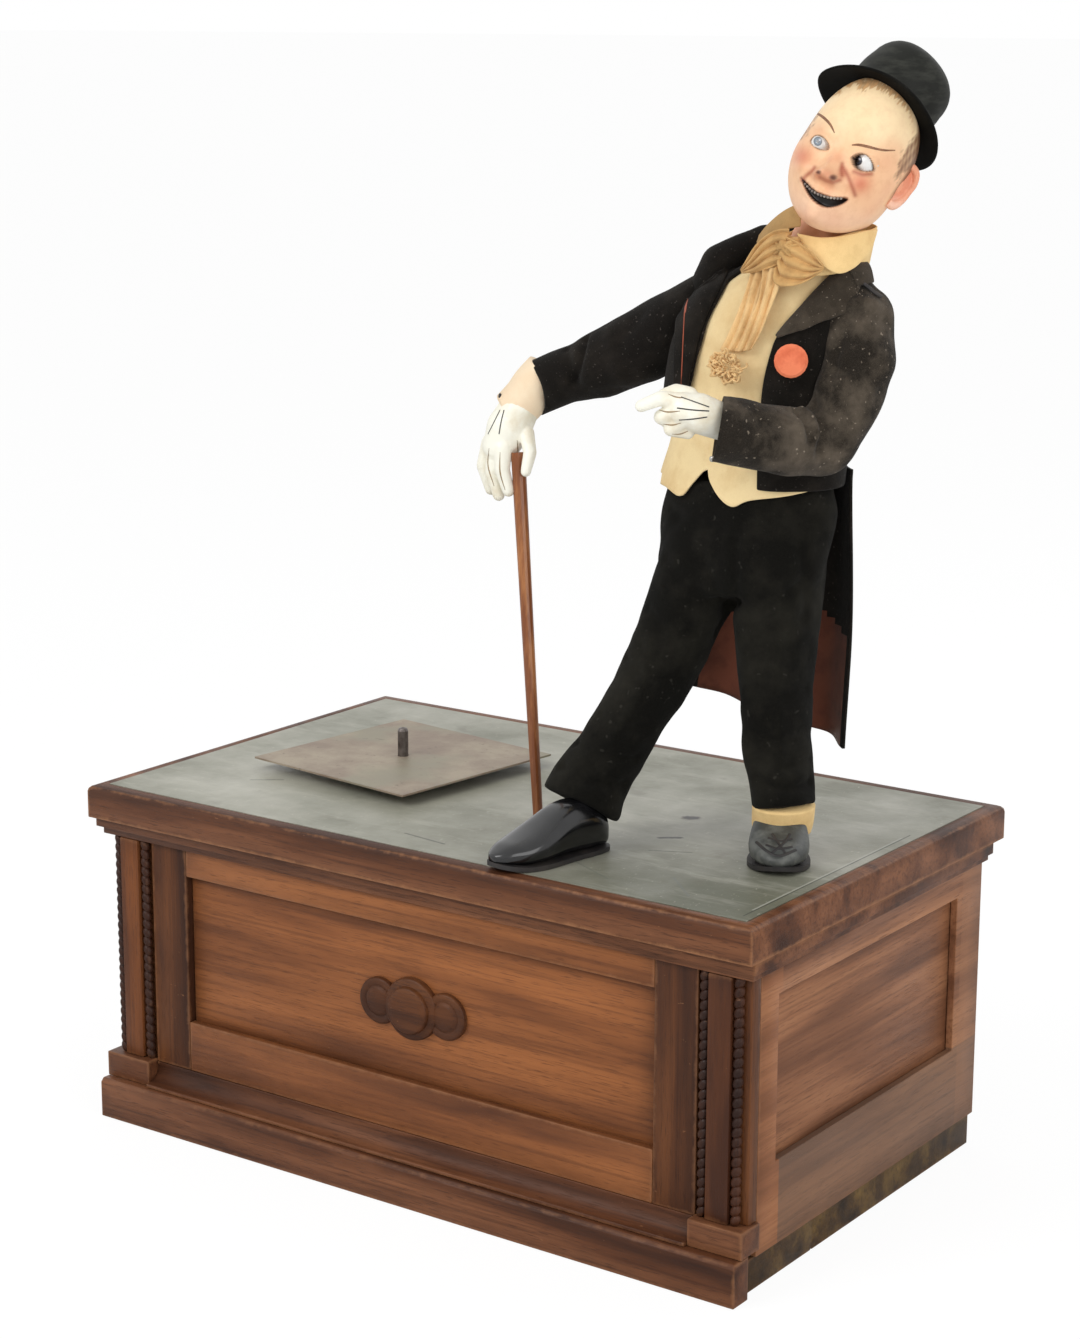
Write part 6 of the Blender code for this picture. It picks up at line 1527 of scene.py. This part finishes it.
eyes = {"set": 0.0287, "spread": 0.0175, "rise": -0.0040, "radius": 0.0082, "lid": 0.0011,
        "iris": {"left": ((450, 562), 19, (0.01, 0.012, 0.018), (0.035, 0.05, 0.075)),
                 "right": ((291, 485), 17, (0.06, 0.07, 0.09), (0.24, 0.29, 0.34))}}
crop = {"origin": (745, 20), "scale": 4.0}


def headAxes():
    front, up = Vector(headPlace["front"]).normalized(), Vector(headPlace["up"]).normalized()
    left = up.cross(front).normalized()
    return np.array((front, left, up))


def headWorld(rows):
    return np.array(headPlace["middle"]) + np.asarray(rows) @ headAxes()


def headLocal(places):
    return (np.asarray(places) - np.array(headPlace["middle"])) @ headAxes().T


def headSkin(turn, lift):
    up = np.sin(lift)
    low = up < 0
    share = np.where(low, (1 - np.abs(up) ** headPlace["square"]).clip(0) ** (1 / headPlace["square"]), np.cos(lift))
    height = np.where(low, headPlace["drop"] * up, headPlace["tall"] * up)
    front = share * np.cos(turn)
    across, forward = headPlace["wide"] * share * np.sin(turn), headPlace["deep"] * front
    jaw = 1 / (1 + np.exp((height + 0.004) / 0.006))
    across = across * np.where(across > 0, 1 - headPlace["jawNear"] * jaw, 1 + headPlace["jawFar"] * jaw)
    height = height - np.where(low & (front > 0), headPlace["chin"] * front * up * up, 0)
    facing = np.clip(front * 3, 0, 1)
    for left, high, wide, tall, lifted in headForms:
        swell = np.exp(-((across * 1000 - left) / wide) ** 2 - ((height * 1000 - high) / tall) ** 2)
        forward = forward + facing * lifted / 1000 * swell
    return np.stack([forward, across, height], axis=-1)


def insideLoop(x, y, loop):
    # Signed distance from a closed line in the picture, above nought inside.
    loop = evenly([*loop, loop[0]], 60)
    inside = np.zeros(len(x), bool)
    best = np.full(len(x), 1e9)
    for (ax, ay), (bx, by) in zip(loop, loop[1:]):
        crosses = (ay > y) != (by > y)
        with np.errstate(divide="ignore", invalid="ignore"):
            inside ^= crosses & (x < (bx - ax) * (y - ay) / (by - ay) + ax)
        dx, dy = bx - ax, by - ay
        t = np.clip(((x - ax) * dx + (y - ay) * dy) / max(dx * dx + dy * dy, 1e-12), 0, 1)
        best = np.minimum(best, np.hypot(x - ax - t * dx, y - ay - t * dy))
    return np.where(inside, best, -best)


def cropped(places):
    # Head points in the enlarged crop in which its features were measured.
    x, y = pictureSpots(places)
    return (x - crop["origin"][0]) * crop["scale"], (y - crop["origin"][1]) * crop["scale"]


features = {
    "mouth": ((224, 630), (236, 664), (258, 704), (286, 731), (314, 746), (346, 748), (382, 738), (410, 720),
              (402, 711),
              (365, 711), (335, 706), (300, 692), (272, 676), (248, 652)),
    "teeth": ((246, 655), (262, 672), (280, 686), (300, 696), (322, 704), (345, 709), (368, 712), (388, 712)),
    "eyeLeft": ((424, 549), (440, 539), (463, 534), (490, 545), (508, 568), (517, 598), (500, 603), (470, 603),
                (445, 592), (430, 572)),
    "eyeRight": ((262, 481), (275, 467), (292, 462), (312, 470), (328, 490), (336, 514), (318, 518), (298, 516),
                 (278, 506), (267, 494)),
    "browLeft": ((427, 500, 0.5), (455, 499, 1.0), (490, 506, 1.1), (525, 515, 0.9), (560, 521, 0.8), (600, 521, 0.4)),
    "browRight": ((280, 371, 0.6), (300, 380, 1.0), (322, 397, 1.1), (342, 420, 0.9), (358, 452, 0.4)),
    # Rosy spots: the painted cheeks and nose, and fainter ones that are painted shade round the eyes, beside the nose
    # and over the lower face.
    "blushAndShade": (((228, 545), 44, 1.15), ((462, 655), 44, 1.25), ((330, 618), 30, 0.8), ((392, 610), 22, 0.9),
              ((600, 690), 50, 0.45),
              ((290, 620), 20, 0.9), ((372, 548), 26, 0.55), ((570, 560), 46, 0.35), ((300, 440), 30, 0.3),
              ((335, 668), 26, 0.5),
              ((600, 500), 40, 0.3), ((520, 770), 60, 0.3), ((235, 790), 40, 0.35), ((350, 800), 50, 0.25),
              ((340, 560), 16, 0.4)),
    "hairTop": ((330, 290), (360, 250), (410, 225), (470, 222), (540, 235), (620, 280), (690, 350), (715, 430),
                (712, 500), (690, 505),
                (682, 440), (655, 375), (610, 325), (560, 292), (500, 270), (470, 292), (440, 262), (400, 282),
                (360, 300)),
    "hairNear": ((600, 640), (612, 590), (632, 540), (655, 500), (690, 455), (720, 430), (760, 480), (740, 600),
                 (690, 600), (640, 610)),
    # Dark rosy strokes beside and under the nose, along the folds to the mouth and below the near eye: painted shade.
    "shadeStrokes": (((392, 590), (412, 625), (430, 672), (440, 700)), ((278, 590), (264, 608), (244, 622), (228, 640)),
                ((300, 630), (322, 642), (350, 650), (380, 640)), ((388, 575), (384, 600), (388, 622)),
                ((436, 606), (470, 618), (505, 616))),
    "nostrils": ((352, 630, 12), (293, 609, 8)),
    "hairFar": ((225, 470), (232, 410), (262, 375), (290, 350), (292, 372), (262, 420), (245, 455))}
headTones = {"pale": (0.99, 0.76, 0.46), "skin": (0.97, 0.60, 0.35), "rosy": (0.66, 0.135, 0.068),
             "hair": (0.185, 0.088, 0.045),
             "sandy": (0.50, 0.27, 0.11), "mouth": (0.006, 0.004, 0.004), "nostril": (0.10, 0.022, 0.012),
             "chin": (0.96, 0.62, 0.41),
             "lidRim": (0.10, 0.045, 0.030), "lidInside": (0.04, 0.03, 0.03), "lip": (0.30, 0.045, 0.03),
             "ear": (0.93, 0.42, 0.25), "earHollow": (0.66, 0.15, 0.075), "earLobe": (0.97, 0.62, 0.46),
             "eyeball": (0.80, 0.80, 0.78), "pupil": (0.004, 0.004, 0.005), "glint": (0.85, 0.90, 1.0)}


def paint(obj, colours):
    layer = obj.data.color_attributes.new("paint", "FLOAT_COLOR", "POINT")
    full = np.ones((len(obj.data.vertices), 4), np.float32)
    full[:, :3] = colours
    layer.data.foreach_set("color", full.ravel())


def makeHead():
    rows, sides = headPlace["grid"]
    share = 2 * (np.arange(1, rows) / rows) - 1
    lifts = np.pi / 2 * (share + 0.12 * np.sin(np.pi * share) - 0.1 * np.cos(np.pi / 2 * share))
    turns = 2 * np.pi * np.arange(sides) / sides
    turns = turns - 0.62 * np.sin(turns)
    grid = headSkin(*np.meshgrid(turns, lifts)).reshape(-1, 3)
    world = headWorld(grid)
    x, y = cropped(world)
    facing = grid[:, 0] > 0.008
    # Eye openings: the skin sinks behind each eyeball inside its lids and swells over it outside them.
    for side, label in ((1, "eyeLeft"), (-1, "eyeRight")):
        middle = np.array((eyes["set"], side * eyes["spread"], eyes["rise"]))
        flat = (grid[:, 1] - middle[1]) ** 2 + (grid[:, 2] - middle[2]) ** 2
        ball = middle[0] + np.sqrt(np.clip(eyes["radius"] ** 2 - flat, 0, None))
        lid = insideLoop(x, y, features[label])
        near = facing & (flat < 0.0135 ** 2)
        over = ball + eyes["lid"] * np.exp(-(np.clip(-lid, 0, None) / 26) ** 2)
        swollen = np.maximum(grid[:, 0], np.where(flat < (eyes["radius"] * 0.998) ** 2, over, grid[:, 0]))
        rim = 0.0006 * np.exp(-((lid + 3) / 5) ** 2)
        sunk = np.minimum(grid[:, 0], ball) - 0.003
        blend = softStep(lid, -1.5, 2.5)
        grid[near, 0] = ((swollen + rim) * (1 - blend) + sunk * blend)[near]
    mouth = np.where(facing, insideLoop(x, y, features["mouth"]), -99)
    grid[:, 0] -= headPlace["mouthDeep"] * softStep(mouth, -1.5, 6)
    grid[:, 0] += np.where(facing, headPlace["lip"] * np.exp(-((mouth + 7) / 6) ** 2), 0)
    world = headWorld(grid)
    poles = headWorld(headSkin(np.zeros(2), np.array((-np.pi / 2, np.pi / 2))))
    points = np.vstack([world, poles])
    faces = gridFaces(rows - 1, sides)
    last = (rows - 2) * sides
    for s in range(sides):
        n = (s + 1) % sides
        faces += [(len(world), n, s), (len(world) + 1, last + s, last + n)]
    head = meshFrom("head_skin", points, faces, paintedMaterial("facePaint", 0.4, 0.06, 0.0, 0.35))
    facingOut(head)
    places, ways = arrays(head)
    paint(head, faceColours(places, headLocal(places)))
    fitted(head, "head_and_hat", "head")
    neck = tube("neck", neckRings, 40, 4, finishes["neck"])
    fitted(neck, "head_and_hat", "head")
    return head


def brushed(colours, tone, share):
    # One tone laid over the colours by a share at each point.
    colours += (np.asarray(tone) - colours) * share[:, None]


def faceColours(places, local):
    x, y = cropped(places)
    tone = {k: np.array(v) for k, v in headTones.items()}
    front = softStep(local[:, 0], 0.004, 0.014)
    # Paler towards the top of the head: painted highlight on the forehead.
    high = softStep(local[:, 2], -0.004, 0.022)
    colours = tone["skin"] + (tone["pale"] - tone["skin"]) * (high * 0.95)[:, None]
    # Lighter towards the chin: painted highlight.
    low = softStep(-local[:, 2], 0.028, 0.048)
    brushed(colours, tone["chin"], (low * 0.8))
    # Rosy cheeks and nose, and painted shade round the eyes and the lower face.
    for (bx, by), size, weight in features["blushAndShade"]:
        gap = ((x - bx) ** 2 + (y - by) ** 2) / size ** 2
        brushed(colours, tone["rosy"], (0.58 * weight * np.exp(-gap) * front).clip(0, 0.9))
    # Painted shade along these strokes.
    for shadeLine in features["shadeStrokes"]:
        gap = lineDistance(np.stack([x, y, x * 0], 1), [(*p, 0) for p in shadeLine])
        brushed(colours, tone["rosy"] * 0.6, (0.75 * np.exp(-(gap / 9) ** 2) * front))
    for hx, hy, size in features["nostrils"]:
        gap = ((x - hx) / (size * 1.4)) ** 2 + ((y - hy) / size) ** 2
        brushed(colours, tone["nostril"], (0.95 * np.exp(-gap ** 2) * front))
    strand = np.array([noise.noise(Vector((a / 9, b / 34, 0))) + 0.5 * noise.noise(Vector((a / 4, b / 15, 3)))
                       for a, b in zip(x * 0.8 + y * 0.6, y * 0.8 - x * 0.6)])
    band = softStep(insideLoop(x, y, features["hairTop"]) + 26 * strand, -4, 12) * front
    brushed(colours, tone["sandy"] * (1 + 0.7 * strand)[:, None], (band * 0.85))
    for label in ("hairNear", "hairFar"):
        inside = insideLoop(x, y, features[label]) + 14 * strand
        side = softStep(local[:, 0], -0.018, -0.006)
        streak = 0.75 + 0.25 * np.sin(x * 0.35 + y * 0.12) * np.sin(x * 0.13 - y * 0.05)
        brushed(colours, tone["hair"] * 1.3, (softStep(inside, -10, 8) * streak * side))
    back = softStep(-local[:, 0], -0.006, 0.004) * softStep(local[:, 2], -0.03, -0.012)
    brushed(colours, tone["hair"], (back * 0.95))
    for label in ("eyeLeft", "eyeRight"):
        inside = insideLoop(x, y, features[label])
        rim = np.exp(-((inside - 0.5) / 3.2) ** 2)
        brushed(colours, tone["lidRim"], (0.8 * rim * front))
        # Dark skin inside the lids, round the eyeball: painted shade in the eye openings.
        brushed(colours, tone["lidInside"], (softStep(inside, 1, 4) * front))
    mouth = np.where(local[:, 0] > 0.008, insideLoop(x, y, features["mouth"]), -99)
    brushed(colours, tone["mouth"], softStep(mouth, -1.5, 1.5))
    brushed(colours, tone["lip"], (0.55 * np.exp(-((mouth + 2.5) / 2.5) ** 2)))
    return colours


def makeEyes():
    look = paintedMaterial("eyePaint", 0.08, 0.0, 0.6)
    for side, label in ((1, "left"), (-1, "right")):
        middle = headWorld([(eyes["set"], side * eyes["spread"], eyes["rise"])])[0]
        axes = headAxes() * eyes["radius"]
        ball = egg(f"eyeball_{label}", middle, (axes[1], axes[2], axes[0]), 96, 72, look)
        places, _ = arrays(ball)
        x, y = cropped(places)
        (ix, iy), size, dark, light = eyes["iris"][label]
        gap = np.hypot(x - ix, (y - iy) * 0.95) / size
        front = softStep((places - middle) @ headAxes()[0], 0.0, 0.002)
        colours = np.tile(headTones["eyeball"], (len(places), 1))
        brushed(colours, light, ((1 - softStep(gap, 0.9, 1.02)) * front))
        glint = np.exp(-(np.hypot(x - ix - 9, y - iy + 6) / 4.5) ** 2)
        ring = np.exp(-((gap - 0.92) / 0.1) ** 2)
        brushed(colours, dark, (ring * 0.9 * front))
        pupil = 1 - softStep(gap, 0.3, 0.44)
        brushed(colours, headTones["pupil"], (pupil * front))
        brushed(colours, headTones["glint"], (glint * 0.8 * front))
        paint(ball, colours)
        fitted(ball, f"{label}_eye", f"eye_{label}")


ears = {"outline": ((-3, -13), (2, -14), (7, -9), (10, -2), (12, 5), (10, 12), (4, 15), (-3, 13), (-5, 6)),
        "place": (-0.0035, 0.0318, -0.0095),
        "stand": 38, "farAside": 0.0320, "melt": (0.0007, 4),
        "thick": (0.003, 0.0034, 0.0028, 0.0024, 0.0024, 0.0026, 0.0026, 0.0024, 0.0022)}


def makeEars():
    axes = headAxes()
    for side, label in ((1, "left"), (-1, "right")):
        lean = radians(ears["stand"])
        back = -axes[0] * cos(lean) + axes[1] * (side * sin(lean))
        out = axes[1] * (side * cos(lean)) + axes[0] * sin(lean)
        aside = ears["place"][1] if side > 0 else ears["farAside"]
        centre = headWorld([(ears["place"][0] - (0.006 if side < 0 else 0), side * aside, ears["place"][2])])[0]
        rim = [centre + back * (b * 0.001 + 0.001) + axes[2] * (a * 0.001) + out * 0.001 for b, a in ears["outline"]]
        line = [(*p, r, r) for p, r in zip(rim, ears["thick"])]
        parts = [tube("rim", line, 20, 6, None, upHint=tuple(out)),
                 egg("bowl", centre + back * 0.004 - out * 0.0012, (back * 0.0085, axes[2] * 0.0125, out * 0.0032), 32,
                     20),
                 egg("inner", centre + back * 0.0015 + out * 0.001, (back * 0.0028, axes[2] * 0.006, out * 0.0026), 20,
                     14)]
        made = fused(f"ear_{label}", parts, *ears["melt"], finishes["ear"])
        paint(made, earColours(made, centre, back, axes[2], out))
        fitted(made, "head_and_hat", "head")


def earColours(made, centre, back, up, out):
    places, _ = arrays(made)
    local = places - centre
    b, a, o = local @ back, local @ up, local @ out
    # Darker red in the ear's hollow: painted shade.
    hollow = np.exp(-((b - 0.004) / 0.006) ** 2 - (a / 0.01) ** 2) * softStep(0.0028 - o, 0, 0.0025)
    colours = np.array(headTones["ear"]) + 0 * places
    brushed(colours, headTones["earHollow"], np.clip(0.15 + hollow, 0, 1))
    brushed(colours, headTones["earLobe"], (0.8 * softStep(-a, 0.004, 0.014)))
    return colours


def makeFaceLines(head):
    # Brows and the small teeth.
    def fromCrop(x, y):
        return crop["origin"][0] + x / crop["scale"], crop["origin"][1] + y / crop["scale"]

    marks = []
    for label in ("browLeft", "browRight"):
        line = [(*fromCrop(x, y), w) for x, y, w in features[label]]
        marks.append(inkLine(label, head, line, 0.0017, 0.00025, finishes["brow"]))
    tree, axes, pearls = treeOf(head), headAxes(), []
    for x, y in evenly(features["teeth"], 13):
        spot, _ = seenOn(tree, *fromCrop(x, y + 3.5))
        if spot is not None:
            pearls.append(egg("tooth", spot + Vector(axes[0]) * 0.003,
                              (axes[1] * 0.0011, axes[2] * 0.001, axes[0] * 0.0008), 10, 8))
    marks.append(joined("teeth", pearls, finishes["tooth"]))
    for mark in marks:
        fitted(mark, "head_and_hat", "head")


makeTrousers()
makeWaistcoat()
makeCoat()
makeTails()
makeSleeves()
print("clothes made")
makeGloves()
makeShoes()
makeCollar()
makeCravat()
print("gloves, shoes and neckwear made")
makeHat()
headPiece = makeHead()
makeEyes()
makeEars()
makeFaceLines(headPiece)
print("head made")


# Stage and light

stageLook = {
    "sky": 0.55, "floor": 90.0, "below": -0.0006, "glow": 0.87, "white": 1.05, "paint": (0.90, 0.90, 0.90, 1),
    "lamps": (("key", (-0.9, -2.3, 2.3), (0.1, 0, 0.4), 1.5, 36.0),
              ("fill", (2.4, -1.2, 1.3), (0.1, 0, 0.4), 1.8, 24.0),
              ("rim", (0.6, 2.2, 2.0), (0.1, 0, 0.5), 1.4, 9.0))}  # place, aim, size and power


def setStage():
    reach = stageLook["floor"]
    corners = [(x * reach, y * reach, stageLook["below"]) for x, y in ((-1, -1), (1, -1), (1, 1), (-1, 1))]
    floor = meshFrom("floor", corners, [(0, 1, 2, 3)])
    made, tree, shader, _ = newMaterial("paleFloor")
    feed(tree, shader, {"Base Color": stageLook["paint"], "Roughness": 0.9, "Specular IOR Level": 0.1})
    glow = put(tree, "ShaderNodeEmission", {"Color": (1, 1, 1, 1), "Strength": stageLook["white"]})
    share = times(tree, put(tree, "ShaderNodeLightPath").outputs["Is Camera Ray"], stageLook["glow"])
    both = put(tree, "ShaderNodeMixShader", {0: share, 1: shader.outputs[0], 2: glow.outputs[0]})
    tree.links.new(both.outputs[0], tree.nodes["Material Output"].inputs["Surface"])
    floor.data.materials.append(made)
    world = bpy.data.worlds.new("studio")
    scene.world = world
    world.use_nodes = True
    tree = world.node_tree
    back = tree.nodes["Background"]
    back.inputs["Color"].default_value = (1, 1, 1, 1)
    seen = put(tree, "ShaderNodeLightPath")
    clear = calc(tree, "MAXIMUM", calc(tree, "MAXIMUM", seen.outputs["Is Camera Ray"], seen.outputs["Is Glossy Ray"]),
                 seen.outputs["Is Transmission Ray"])
    tree.links.new(spread(tree, clear, 0.0, 1.0, (stageLook["sky"], 1.0)), back.inputs["Strength"])
    for name, spot, aim, size, power in stageLook["lamps"]:
        lamp = bpy.data.lights.new(name, "AREA")
        lamp.size = size
        lamp.energy = power
        made = bpy.data.objects.new(name, lamp)
        scene.collection.objects.link(made)
        turn = (Vector(aim) - Vector(spot)).to_track_quat("-Z", "Y")
        made.matrix_world = Matrix.Translation(spot) @ turn.to_matrix().to_4x4()


setStage()
print("stage set")
